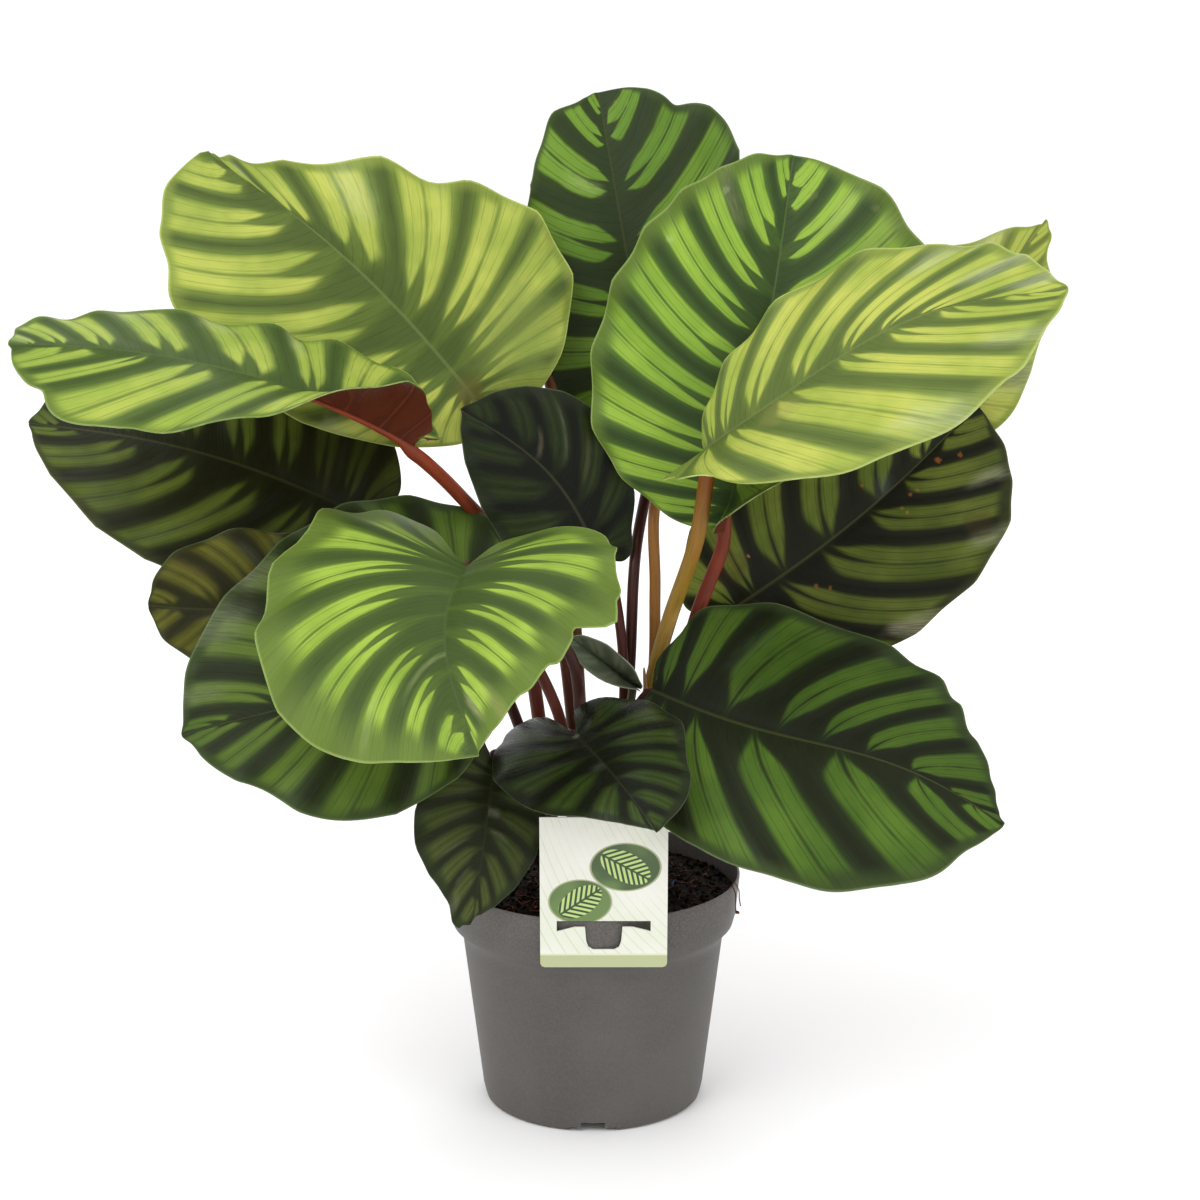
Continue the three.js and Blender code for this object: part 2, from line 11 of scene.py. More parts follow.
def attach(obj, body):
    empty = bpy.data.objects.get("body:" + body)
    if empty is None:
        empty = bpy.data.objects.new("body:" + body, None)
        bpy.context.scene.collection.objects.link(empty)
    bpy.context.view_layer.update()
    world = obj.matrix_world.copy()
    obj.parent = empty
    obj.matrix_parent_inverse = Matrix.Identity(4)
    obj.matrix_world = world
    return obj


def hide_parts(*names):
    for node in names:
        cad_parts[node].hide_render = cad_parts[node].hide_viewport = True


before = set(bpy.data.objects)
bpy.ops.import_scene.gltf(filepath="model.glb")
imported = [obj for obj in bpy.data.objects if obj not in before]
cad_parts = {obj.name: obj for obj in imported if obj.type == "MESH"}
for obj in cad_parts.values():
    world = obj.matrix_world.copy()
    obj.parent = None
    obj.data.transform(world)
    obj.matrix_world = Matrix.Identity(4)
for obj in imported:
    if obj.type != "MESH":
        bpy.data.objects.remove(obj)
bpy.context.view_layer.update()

MM = 0.001
BODY = "root"

# Camera, in millimetres: level distance from the pot, height, and pixels of the focal length
CAMERA_DISTANCE = 1702
CAMERA_HEIGHT = 722
CAMERA_PITCH = 14
CAMERA_YAW = 0.14
CAMERA_FOCAL = 3090
IMAGE_SIZE = 1200
SENSOR = 36

# Pot, soil and rim, as in the frame
POT_OUTSIDE = [
    (60, 0), (62.8, 1.4), (64.4, 8), (66, 21), (75.5, 98.5), (77.5, 103),
    (81.5, 107.5), (83, 113), (85.2, 135.2), (85, 136),
]
POT_LIP = [(84.85, 136), (84.4, 136.0), (83.9, 135.7)]
POT_INSIDE = [(83.75, 135.2), (81.4, 113.8), (73.9, 99), (64.4, 21), (62.5, 8), (59.5, 4)]
POT_FLOOR = 4
POT_SEGMENTS = 160
POT_CREASE = 38
# Width, distance from the axis and height of the four notches and drain holes at the foot
POT_NOTCHES = ((27, 44, 2.5), (13.5, 52, 6))
RIM_HEIGHT = 136
SOIL_EDGE = 124
SOIL_DOME = 5
SOIL_RADIUS = 82
SOIL_SKIRT = [(0, 5), (59, 5), (64, 21), (74, 99.4)]
SOIL_RINGS = 64
SOIL_SEGMENTS = 200
CRUMBS = 2600
FIBRES = 240
FIBRE_PITCH = 2.6
FIBRE_SIDES = 5
BIT_SHARES = ((0.5, 1.2), (0.35, 0.8), (0.2, 0.6))

# The card: its middle, how much longer it is than its height because it leans, and the
# middle, radii and turn of its two oval pictures, from where it crosses the rim
CARD_MIDDLE = 6
CARD_LEAN = 1.005
MEDALLIONS = ((-13, 12, 17, 13, 35), (12, 33, 19, 14, -30))

# Place in metres, size in metres and power of the studio's lamps
LAMPS = {
    "key": ((-1.1, -1.6, 2.1), 1.5, 24),
    "fill": ((1.6, -1.4, 1.3), 1.4, 7),
    "back": ((0.3, 1.7, 1.9), 1.4, 8),
}
LAMP_TARGET = (0, 0, 0.3)
SKY_STRENGTH = 1.1
FLOOR_REACH = 20000

# What all leaves share
BLADE_THICK = 0.7
ROW_PITCH = 1.6
FEWEST_ROWS = 30
HALF_COLUMNS = 22
TIP_POINT = 0.02
VEIN_LEAD = 1.9
VEIN_SWEEP = 0.28
STEM_SIDES = 18
STEM_STEPS = 14
STEM_BEYOND = 60
SHEATH_RADIUS = 4.4
SHEATH_TOP = 190
ROOT_BOTTOM = 112
ROOT_TOP = 134
BEHIND_BASE = -11
UNDER_RUN = 9
SMALL_BLADE = 90
MARGIN_CROWDING = 1.25
MEAN_CREASE = 0.64
RIDGE_SHARE = 0.62
RIDGE_STEPS = 16
RIDGE_RADIUS = 1.9
RIDGE_TIP_RADIUS = 0.5
RIB_GROOVE = 0.5
OTHER_HALF = 20
LEAF_SPECULAR = 0.12
STEM_SPECULAR = 0.22

# What a leaf has where its own entry says nothing. Pairs are right and left half, seen from
# above and looking from base to tip.
# face: azimuth and elevation that the upper face looks to, azimuth 0 being the front
# arch, bow: bend of the midrib over its length, and sideways; fold, cup: rise of a half at
# the midrib, and its further turn on the way to the margin; close: extra rise at the base
# lobe, broad, baseRound, tipRound, skew, width: the outline; root, via: the petiole's way
# veins: for each main side vein, the share of the midrib where it starts and the share of
# the margin where it ends, in per cent, or just how many there are
# sway: sideways shift of the midrib alone, as one arc and as an S; relief: rise between main
# veins; scallop: how far the margin stands out at their ends; trims: half (1 right, -1 left),
# place on the margin, way outward and spread of each local bulge or dent of the outline;
# joint: where along the midrib the petiole comes up to the blade, and where it has become the
# midrib's ridge
PLAIN_LEAF = dict(
    face=(0, 15), arch=20, bow=0, fold=(5, 5), cup=(-10, -10), close=(0, 0),
    lobe=(0.12, 0.12), broad=(0.12, 0.12), baseRound=(0.85, 0.85), tipRound=(0.8, 0.8),
    skew=0, wave=2.5, petiole=3.3, via=[], veins=(6, 6), sway=(0, 0), relief=1.2,
    scallop=(1.2, 1.2), trims=[],
    joint=(BEHIND_BASE, UNDER_RUN),
)

LEAVES = {
    "top_left": dict(
        base=(-66, 35, 406), tip=(-217, 75, 541), width=176, face=(-5, 25), arch=25, bow=2, fold=(8, 8),
        cup=(-22, -12), broad=(0.58, -0.15), baseRound=(1, 1.5), tipRound=(1.8, 0.6), skew=0.02,
        wave=3.5, root=(-4, 6), via=[(-24, 36, 300)],
        veins=([(2, 12), (7, 25), (14, 38), (24, 50.5), (36, 62.5), (61, 76.5), (76, 89), (90, 97)],
               [(2, 13), (7, 27), (15, 42), (27, 57.5), (44, 72.5), (64.5, 87), (80, 96.5)]),
        sway=(5.5, 0), scallop=(4, 1.5),
        trims=[(1, 0.54, -9, 0.05), (1, 0.76, -5, 0.1), (-1, 0.8, -7, 0.08), (-1, 0.96, 7, 0.04)],
    ),
    "side_left": dict(
        base=(-99, -10, 389), tip=(-308, -55, 453), width=116, face=(0, 66), arch=36, fold=(-3, -15),
        cup=(-8, -8), close=(20, 115), lobe=(0.12, 0.05), broad=(0.1, 0), tipRound=(0.8, 0.5),
        skew=-0.1, wave=3, petiole=4, root=(-20, -10),
        via=[(-37, 4, 268), (-53, 33, 322), (-76, 18, 355)],
        veins=([(5, 10), (13, 25), (24, 38.5), (34, 47.5), (55, 61), (74, 74.5), (86, 86), (95, 95)],
               [(4, 12), (10, 25), (20, 40), (31, 53), (46, 67.5), (66, 91.5), (74, 97)]),
        scallop=(1.5, 2.5),
        trims=[(1, 0.1, -10, 0.1), (1, 0.3, 8, 0.08), (1, 0.67, 8, 0.04), (1, 0.9, 9, 0.08),
               (-1, 0.13, -10, 0.1), (-1, 0.25, -6, 0.03), (-1, 0.89, -8, 0.05)],
    ),
    "mid_left": dict(
        base=(-130, 39, 337), tip=(-324, 65, 387), width=140, face=(0, 30), cup=(-15, -15),
        lobe=(0.08, 0.12), tipRound=(0.97, 0.97), skew=0.08, root=(-14, 2), via=[(-60, 22, 257)],
        veins=([(4, 18), (11, 30), (20, 40), (33, 50), (46, 60), (62, 72), (78, 84), (90, 94)],
               [(4, 20), (11, 40), (22, 57), (42, 67), (60, 82), (80, 95.5)]),
        sway=(8, 0), scallop=(1.5, 2), trims=[(-1, 0.8, -5, 0.13)],
    ),
    "small_left": dict(
        base=(-149, 2, 303), tip=(-250, -2, 295), width=86, face=(0, 12), arch=15, root=(-26, 4),
        via=[(-85, 6, 242)],
        veins=([(4, 15), (13, 35), (28, 55), (50, 76), (76, 92)],
               [(5, 15), (15, 35), (30, 53), (50, 70), (74, 87)]),
        sway=(-6, 0), trims=[(1, 0.38, -8, 0.12), (1, 0.62, -3, 0.1)],
    ),
    "low_left": dict(
        base=(-55, -25, 285), tip=(-222, -75, 241), width=182, face=(0, 32), arch=25, cup=(-20, -20),
        lobe=(0.12, 0.02), broad=(0.2, 0), baseRound=(0.65, 1.1), tipRound=(1.1, 1.15), skew=0.1,
        root=(-8, -16), via=[(-20, -27, 240)],
        veins=([(4, 12), (10, 28), (18, 42), (30, 56), (42, 70), (62, 86), (78, 95.5)],
               [(3, 10), (9, 22), (17, 36), (28, 50), (44, 69.5), (60, 83), (74, 93)]),
        sway=(-8, 0), scallop=(1.2, 2.5),
        trims=[(1, 0.13, 11, 0.07), (1, 0.6, -6, 0.15), (-1, 0.77, -7, 0.09)],
    ),
    "front": dict(
        base=(-69, -65, 333), tip=(-59, -185, 264), width=188, face=(-12, 48), arch=42, bow=12,
        cup=(-20, -28), close=(32, 10), lobe=(0.32, 0.14), broad=(0, 0.6), baseRound=(0.77, 0.85),
        tipRound=(0.45, 1.7), skew=0.06, wave=3.5, root=(6, -19), via=[(-6, -34, 231), (-14, -42, 279)],
        veins=([(1, 12), (3, 28), (6, 42), (13, 53), (28, 69), (41, 86), (56, 95), (74, 98.5)],
               [(1, 10), (4, 30), (14, 50), (25, 60), (36, 66), (53, 74.5), (75, 88)]),
        scallop=(2.5, 1.5),
        trims=[(-1, 0.22, -7, 0.04), (-1, 0.31, -13, 0.07), (-1, 0.39, -7, 0.05), (-1, 0.515, 8, 0.022),
               (-1, 0.56, -9, 0.025)],
    ),
    "centre": dict(
        base=(4, 30, 314), tip=(-73, 16, 403), width=89, bow=12, broad=(-0.15, 0.15),
        tipRound=(0.85, 1.6), skew=-0.02, petiole=2.9, root=(8, -2), via=[(18, 12, 250)],
        veins=([(2, 12), (8, 32), (20, 52), (38, 69), (58, 80), (78, 90)],
               [(2, 12), (10, 30), (22, 47), (36, 60), (53, 74), (74, 87)]),
    ),
    "top_back": dict(
        base=(36, 75, 390), tip=(4, 115, 570), width=140, fold=(8, 8), broad=(0, 0.1),
        baseRound=(0.85, 1.3), tipRound=(0.42, 0.8), skew=0.1, wave=3.5, root=(10, 14),
        via=[(21, 22, 246), (25, 42, 316)],
        veins=([(5, 15), (15, 35), (28, 53), (42, 69), (62, 81.5), (78, 97)],
               [(5, 15), (15, 33), (28, 46), (42, 58), (63, 70), (80, 88.5), (92, 97)]),
        scallop=(4, 4),
        trims=[(1, 0.75, 6, 0.05), (1, 0.9, -8, 0.05), (-1, 0.7, -4, 0.04), (-1, 0.88, 3, 0.06)],
    ),
    "top_right": dict(
        base=(74, 5, 336), tip=(112, 35, 541), width=190, face=(-10, 15), bow=5, fold=(8, 8),
        cup=(-15, -15), close=(95, 0), lobe=(0.02, 0.02), broad=(-0.1, 0.1), baseRound=(1.4, 0.85),
        tipRound=(0.6, 0.95), wave=3.5, petiole=4, root=(34, -8), via=[(57, 7, 278)],
        veins=([(4, 10), (12, 22), (22, 35), (33, 48), (44, 60), (56, 73), (69, 90), (82, 97)],
               [(3, 8), (9, 20), (17, 32), (26, 45.5), (37, 57.5), (50, 68), (60, 77.5), (70, 86),
                (86, 96)]),
        scallop=(3, 2), trims=[(1, 0.8, -6, 0.07), (-1, 0.15, -6, 0.12), (-1, 0.93, 4, 0.04)],
    ),
    "side_right": dict(
        base=(61, -35, 391), tip=(247, -80, 486), width=134, face=(0, 48), arch=18, bow=-11,
        fold=(-2, 5), cup=(-8, -8), close=(47, 0), lobe=(0.14, 0), broad=(0.29, 0.05),
        baseRound=(0.7, 1.05), tipRound=(0.9, 1), skew=0.1, wave=3, petiole=4.4, root=(21, -6),
        via=[(33, 0, 244), (43, 0, 284), (58, -22, 338)], joint=(2, 13),
        veins=([(1, 20), (4, 40), (15, 54), (36, 72), (50, 81), (63, 93), (80, 98)],
               [(2, 10), (5, 23), (10, 37), (22, 54), (38, 68), (50, 78), (60, 86), (72, 94)]),
        sway=(-5, 4), scallop=(1.2, 1.5),
        trims=[(1, 0.1, -17, 0.08), (1, 0.25, -18, 0.08), (1, 0.58, 7, 0.15), (1, 0.87, -4, 0.05),
               (-1, 0.68, -5, 0.04)],
    ),
    "far_right": dict(
        base=(171, 75, 381), tip=(263, 100, 499), width=96, arch=15, fold=(8, 8), lobe=(0.05, 0.05),
        broad=(0.25, -0.15), tipRound=(0.95, 2.5), skew=-0.05, root=(32, 20),
        via=[(58, 45, 240), (112, 76, 325)],
        veins=([(5, 15), (15, 35), (30, 52), (48, 68), (68, 84), (85, 94)],
               [(5, 15), (15, 33), (30, 50), (48, 67), (68, 82), (86, 93)]),
        trims=[(1, 0.42, 6, 0.08), (1, 0.7, 5, 0.03), (1, 0.83, -7, 0.07), (-1, 0.69, -6, 0.07)],
    ),
    "mid_right": dict(
        base=(76, 30, 281), tip=(220, 60, 396), width=149, arch=15, bow=2, fold=(6, 6),
        broad=(-0.15, 0), baseRound=(0.85, 1.3), tipRound=(0.75, 0.9), skew=0.06, root=(34, 6),
        via=[(52, 20, 220)],
        veins=([(2, 15), (6, 32), (13, 49), (27, 63), (47, 78), (62, 87), (78, 95)],
               [(2, 12), (7, 28), (16, 44), (30, 59), (50, 74), (70, 87), (87, 95)]),
        sway=(4, 0), scallop=(2, 1.5), trims=[(1, 0.6, -4, 0.2), (1, 0.94, 3, 0.04)],
    ),
    "low_right": dict(
        base=(33, -37, 255), tip=(223, -82, 193), width=160, face=(0, 45), arch=25, cup=(-15, -15),
        lobe=(0.05, 0.05), broad=(0.12, 0.2), baseRound=(0.75, 0.65), tipRound=(0.9, 1.45), skew=0.06,
        root=(20, -27), via=[(18, -33, 225)], joint=(-2, 12),
        veins=([(2, 15), (8, 36), (20, 53.5), (41, 70.5), (66, 88), (84, 96)],
               [(1, 6), (5, 18), (13, 34), (30, 55), (42, 64.5), (54, 70), (67, 77), (80, 88),
                (92, 95)]),
        sway=(0, 5),
        trims=[(1, 0.6, 3, 0.07), (1, 0.88, -5, 0.06), (-1, 0.08, -8, 0.08), (-1, 0.65, 8, 0.09),
               (-1, 0.81, 3, 0.03)],
    ),
    "front_low": dict(
        base=(-10, -78, 241), tip=(33, -138, 206), width=103, face=(-5, 48), arch=38, fold=(2, 2),
        cup=(-28, -28), lobe=(0.65, 0.35), broad=(0.3, 0.1), tipRound=(1.9, 0.9), skew=-0.08, wave=1.5,
        root=(2, -32), via=[(-8, -52, 205)],
        veins=([(2, 6), (10, 17), (22, 36), (34, 55), (50, 69), (66, 82), (84, 94)],
               [(2, 10), (8, 30), (20, 50), (33, 64), (47, 76), (62, 86), (80, 94)]),
        scallop=(1.5, 0.8),
        trims=[(1, 0.02, 9, 0.04), (1, 0.08, 6, 0.04), (1, 0.58, 3, 0.1), (-1, 0.15, 6, 0.06),
               (-1, 0.65, -6, 0.12)],
    ),
    "rim_left": dict(
        base=(-55, -52, 215), tip=(-66, -84, 138), width=68, face=(5, 25), fold=(12, 12),
        lobe=(0.2, 0.2), broad=(0.1, 0.1), baseRound=(0.5, 0.5), tipRound=(1.2, 1.5), skew=0.06, wave=1,
        root=(-18, -24), via=[(-40, -36, 195)],
        veins=([(3, 15), (10, 32), (20, 48), (33, 60), (47, 70), (62, 80), (80, 90)],
               [(3, 15), (12, 32), (24, 48), (36, 60), (50, 72), (66, 83), (82, 92)]),
        scallop=(0.8, 0.8), trims=[(1, 0.55, 5, 0.15), (1, 0.93, 9, 0.07)],
    ),
    "back_left": dict(
        base=(-51, 95, 434), tip=(-150, 190, 480), width=118, face=(0, 60), root=(-2, 22),
        via=[(-14, 46, 330), (-25, 57, 413)], veins=(7, 7),
    ),
    "back_middle": dict(
        base=(64, 110, 375), tip=(80, 215, 440), width=120, face=(0, 60), root=(22, 12),
        via=[(35, 22, 246), (36, 30, 297), (37, 48, 346)], veins=(7, 7),
    ),
    "back_right": dict(
        base=(124, 110, 344), tip=(205, 205, 310), width=110, face=(0, 70), root=(16, 26),
        via=[(60, 62, 250)], veins=(6, 6),
    ),
    "young": dict(
        base=(22, -7, 250), tip=(-12, -14, 279), width=28, face=(0, 30), arch=10, fold=(60, 28),
        close=(25, 50), wave=0.8, petiole=2.4, root=(16, -16), via=[(19, -11, 225)], veins=(4, 4),
        relief=0.3, scallop=(0.3, 0.3),
    ),
}

# The new shoot: its way, thickness, colours from soil to tip and the run that they take
SHOOT = dict(
    root=(36, -18), via=[(31, -16, 232)], tip=(29, -15, 262), radius=2.6,
    skin=((150, 112, 92), (176, 130, 112), (150, 120, 84)), reach=140,
)

# Leaf colours as the eye sees them, 0 to 255. bright: the stripes; pale: their lit parts;
# dark: the bands along the main veins; mid: between the two; edge: along the margin; rib:
# the midrib; under: the lower face. start: where across a half the stripes begin; band: half
# the width of the dark bands there beyond, 1 being the middle between two main veins; fade:
# where across a half the stripes end; soft: how soft the stripes' borders are; split: how far
# the middle vein splits a stripe; lines: strength of the fine veins; halves: painted light and
# shade, as a factor on the brightness of the right and left half; marks: half, place along the
# midrib, place across, radius in millimetres, colour and strength of each spot or tint; painted
# sheen and shade: half, vein number, place across, width in veins, length across, colour and
# strength of each painted highlight or painted shade streak along a side vein
PLAIN_LOOK = dict(
    bright=(118, 145, 58), pale=(136, 156, 64), dark=(50, 68, 30), mid=(80, 102, 40),
    edge=(92, 112, 44), rib=(78, 94, 50), under=(84, 36, 22), start=0.2, band=0.42,
    fade=(0.93, 1.0), soft=1, split=1, lines=0.4, gloss=0.42, halves=(1, 1), marks=[], painted_sheen_and_shade=[],
)
SUNLIT = dict(
    bright=(148, 162, 66), pale=(165, 173, 78), dark=(80, 94, 42), mid=(110, 128, 52),
    edge=(128, 142, 62), rib=(104, 116, 64), band=0.4, soft=1.5,
)
DEEP = dict(
    bright=(74, 98, 31), pale=(86, 108, 36), dark=(32, 40, 15), mid=(45, 60, 21),
    edge=(56, 72, 33), rib=(62, 68, 34), split=0.5,
)
SHADE = dict(
    bright=(66, 80, 24), pale=(82, 96, 32), dark=(27, 30, 9), mid=(40, 47, 14),
    edge=(54, 60, 26), rib=(58, 62, 30), gloss=0.38, soft=2.5, split=0.6,
)
BLACK = dict(
    bright=(40, 53, 20), pale=(51, 64, 24), dark=(14, 17, 8), mid=(22, 28, 12),
    edge=(36, 44, 24), rib=(44, 48, 30), gloss=0.3, fade=(0.84, 0.96), start=0.25, soft=3.5,
    split=0.4,
)
# The first two colours are painted highlights along side veins; the others are the leaves' own colours
WHITISH_HIGHLIGHT = (186, 190, 160)
GREYISH_HIGHLIGHT = (92, 96, 80)
RUST = (150, 90, 44)
OLIVE = (96, 88, 42)
# In each look, the streaks along the side veins are painted highlights, a few of them painted shade
LOOKS = {
    "top_left": dict(
        SUNLIT, bright=(142, 158, 66), dark=(71, 86, 37), mid=(104, 123, 49), band=0.36, start=0.16,
        soft=2,
        marks=[(1, 0.065, 0.5, 38, (112, 128, 60), 0.55), (-1, 0.03, 0.05, 12, OLIVE, 0.6),
               (-1, 0.1, 0.65, 14, (132, 138, 92), 0.4), (-1, 0.13, 0.95, 12, (140, 144, 100), 0.4)],
        painted_sheen_and_shade=[(1, 5.4, 0.8, 0.3, 0.3, WHITISH_HIGHLIGHT, 0.25), (1, 7.2, 0.8, 0.3, 0.3, WHITISH_HIGHLIGHT, 0.25),
                (-1, 4.2, 0.9, 0.4, 0.2, WHITISH_HIGHLIGHT, 0.2)],
    ),
    "side_left": dict(
        bright=(138, 160, 64), pale=(157, 170, 74), dark=(60, 79, 32), mid=(88, 108, 46), start=0.14,
        under=(80, 36, 22), soft=2, split=0.6,
        painted_sheen_and_shade=[(1, 3.7, 0.85, 0.25, 0.3, WHITISH_HIGHLIGHT, 0.3), (1, 4.7, 0.9, 0.3, 0.25, WHITISH_HIGHLIGHT, 0.3),
                (1, 8.4, 0.75, 0.4, 0.5, WHITISH_HIGHLIGHT, 0.3)],
    ),
    "mid_left": dict(
        SHADE, start=0.16,
        marks=[(1, 0.1, 0.35, 46, (33, 37, 14), 0.55)],
        painted_sheen_and_shade=[(1, 2.3, 0.15, 0.15, 0.25, (96, 92, 60), 0.45), (1, 2.0, 0.35, 0.2, 0.3, GREYISH_HIGHLIGHT, 0.25),
                (-1, 3.5, 0.6, 0.2, 0.4, (84, 96, 52), 0.3)],
    ),
    "small_left": dict(
        SHADE, bright=(86, 88, 26), pale=(98, 98, 32), dark=(36, 37, 10), mid=(54, 54, 15), start=0.25,
        soft=4, split=0.3,
        painted_sheen_and_shade=[(1, 3.1, 0.6, 0.2, 0.3, GREYISH_HIGHLIGHT, 0.4), (1, 4.2, 0.75, 0.3, 0.3, (98, 84, 40), 0.35)],
    ),
    "low_left": dict(
        DEEP, start=0.25, band=0.45, soft=2,
        painted_sheen_and_shade=[(1, 6.5, 0.9, 0.4, 0.3, (126, 132, 96), 0.4),
                (1, 5.4, 0.95, 0.5, 0.2, (120, 128, 96), 0.5),
                (1, 4.6, 0.97, 0.5, 0.15, (150, 156, 124), 0.5),
                (1, 7.2, 0.1, 0.4, 0.3, (24, 30, 18), 0.6)],
    ),
    "front": dict(
        fade=(0.74, 0.9), edge=(98, 118, 48), mid=(88, 110, 44), dark=(62, 80, 36), start=0.22,
        band=0.5, rib=(72, 88, 46), bright=(128, 157, 56), pale=(146, 172, 65),
        painted_sheen_and_shade=[(1, 7.0, 0.25, 0.12, 0.5, (142, 152, 100), 0.5),
                (1, 6.4, 0.8, 0.15, 0.25, (150, 164, 100), 0.4),
                (-1, 6.8, 0.65, 0.25, 0.3, (164, 170, 116), 0.5),
                (-1, 6.3, 0.9, 0.2, 0.3, (140, 140, 80), 0.5)],
    ),
    "centre": dict(
        BLACK, bright=(36, 47, 19), pale=(45, 56, 22), rib=(60, 58, 40), soft=5.5, split=0.1,
        painted_sheen_and_shade=[(1, 5.05, 0.28, 0.12, 0.3, (104, 98, 76), 0.5),
                (1, 4.3, 0.6, 0.08, 0.5, (92, 94, 80), 0.5),
                (1, 3.6, 0.5, 0.12, 0.25, (84, 82, 62), 0.45)],
    ),
    "top_back": dict(
        DEEP, bright=(88, 122, 38), pale=(98, 130, 44), dark=(40, 52, 26), start=0.16,
        painted_sheen_and_shade=[(-1, 5.4, 0.45, 0.2, 0.35, (150, 170, 100), 0.5)],
    ),
    "top_right": dict(
        bright=(116, 150, 50), pale=(130, 160, 56), dark=(46, 64, 28), mid=(70, 96, 36), start=0.14,
        fade=(0.88, 1.0),
        marks=[(-1, 0.694, 0.87, 3.2, (160, 164, 130), 0.25),
               (-1, 0.527, 0.87, 2.6, (170, 174, 140), 0.25),
               (1, 0.848, 0.62, 3.6, (104, 100, 66), 0.3), (1, 0.677, 0.9, 3, (112, 108, 76), 0.3)],
        painted_sheen_and_shade=[(1, 7.4, 0.75, 0.3, 0.3, (150, 158, 104), 0.3),
                (1, 6.6, 0.85, 0.3, 0.3, (140, 146, 96), 0.3),
                (-1, 8.0, 0.8, 0.3, 0.3, (150, 158, 110), 0.3)],
    ),
    "side_right": dict(
        SUNLIT, bright=(150, 166, 68), pale=(172, 178, 82), dark=(84, 100, 46), mid=(112, 130, 56),
        start=0.12, split=0.5,
        marks=[(1, 0.2, 0.2, 16, (122, 122, 66), 0.4)],
        painted_sheen_and_shade=[(-1, 5.3, 0.9, 0.4, 0.25, WHITISH_HIGHLIGHT, 0.4), (-1, 6.9, 0.88, 0.5, 0.3, WHITISH_HIGHLIGHT, 0.45),
                (-1, 8.1, 0.9, 0.5, 0.3, WHITISH_HIGHLIGHT, 0.4), (1, 3.5, 0.92, 0.5, 0.15, WHITISH_HIGHLIGHT, 0.35),
                (1, 5.3, 0.9, 0.4, 0.2, WHITISH_HIGHLIGHT, 0.3)],
    ),
    "far_right": dict(
        SUNLIT, dark=(100, 112, 48), mid=(128, 140, 58), bright=(156, 168, 72), pale=(172, 178, 84),
        painted_sheen_and_shade=[(-1, 4.6, 0.9, 0.5, 0.3, WHITISH_HIGHLIGHT, 0.35), (1, 3.0, 0.92, 0.5, 0.25, WHITISH_HIGHLIGHT, 0.35)],
    ),
    "mid_right": dict(
        SHADE, dark=(18, 20, 7), mid=(33, 37, 12), bright=(70, 84, 25), pale=(92, 102, 37),
        # halves: painted light on the left half and a little painted shade on the right
        halves=(0.95, 1.4), soft=2, split=0.3, band=0.36, start=0.14,
        marks=[(1, 0.777, 0.33, 2.4, RUST, 0.6), (1, 0.777, 0.62, 2, RUST, 0.5),
               (1, 0.66, 0.3, 1.6, RUST, 0.5), (1, 0.64, 0.26, 1.7, RUST, 0.5),
               (1, 0.585, 0.28, 1.7, (136, 100, 44), 0.5), (1, 0.569, 0.35, 1.5, (150, 112, 60), 0.5),
               (1, 0.24, 0.22, 1.9, (140, 92, 36), 0.5), (1, 0.25, 0.3, 1.7, (140, 92, 36), 0.4),
               (-1, 0.152, 0.29, 1.4, (176, 120, 96), 0.6), (-1, 0.548, 0.24, 1.5, RUST, 0.4),
               (-1, 0.1, 0.4, 14, (64, 40, 20), 0.35), (1, 0.48, 0.85, 12, (60, 48, 22), 0.35)],
        painted_sheen_and_shade=[(1, 6.25, 0.88, 0.25, 0.2, (150, 152, 122), 0.6),
                (1, 4.8, 0.94, 0.3, 0.12, (140, 146, 110), 0.6),
                (1, 3.2, 0.95, 0.4, 0.15, (160, 158, 128), 0.6),
                (-1, 5.6, 0.07, 0.3, 0.2, (72, 80, 78), 0.5),
                (1, 3.0, 0.4, 0.06, 0.3, (84, 78, 66), 0.5)],
    ),
    "low_right": dict(
        DEEP, bright=(62, 89, 25), pale=(74, 101, 30), dark=(24, 30, 11), mid=(34, 47, 17), start=0.2,
        # halves: painted shade on the far, left half and a little painted light on the right
        fade=(0.9, 1.0), band=0.4, split=0.15, soft=1.6, halves=(1.04, 0.74),
        painted_sheen_and_shade=[(-1, 3.2, 0.55, 0.2, 0.3, (52, 70, 44), 0.4)],
    ),
    "front_low": dict(
        BLACK, bright=(54, 72, 26), pale=(62, 80, 30), dark=(21, 26, 13), mid=(32, 40, 18), soft=6,
        split=0, lines=0.25, band=0.46,
        marks=[(1, 0.03, 0.02, 3, (120, 112, 84), 0.7)],
        painted_sheen_and_shade=[(1, 4.3, 0.06, 0.3, 0.16, (82, 84, 74), 0.5),
                (-1, 3.3, 0.4, 0.12, 0.3, (70, 78, 66), 0.4),
                (-1, 5.5, 0.25, 0.2, 0.25, (74, 78, 68), 0.45),
                (1, 2.9, 0.65, 0.2, 0.3, (56, 66, 48), 0.4)],
    ),
    "rim_left": dict(
        BLACK, bright=(66, 78, 32), pale=(76, 86, 38), dark=(33, 38, 17), mid=(47, 56, 26), soft=6,
        split=0, lines=0.25, band=0.46,
        painted_sheen_and_shade=[(-1, 3.5, 0.08, 0.4, 0.2, (124, 124, 106), 0.6),
                (-1, 4.4, 0.3, 0.2, 0.3, (110, 112, 92), 0.5),
                (1, 4.85, 0.55, 0.12, 0.4, (100, 106, 76), 0.5),
                (1, 6.1, 0.55, 0.15, 0.3, (96, 102, 74), 0.45),
                (1, 6.6, 0.9, 0.4, 0.2, (104, 106, 86), 0.5),
                (1, 0.1, 0.9, 0.5, 0.3, (88, 76, 70), 0.4)],
    ),
    "back_left": dict(),
    "back_middle": dict(),
    "back_right": dict(DEEP),
    "young": dict(
        BLACK, dark=(76, 84, 66), mid=(82, 90, 71), bright=(90, 98, 76), pale=(100, 108, 86),
        edge=(106, 114, 92), under=(102, 110, 92), gloss=0.4,
    ),
}

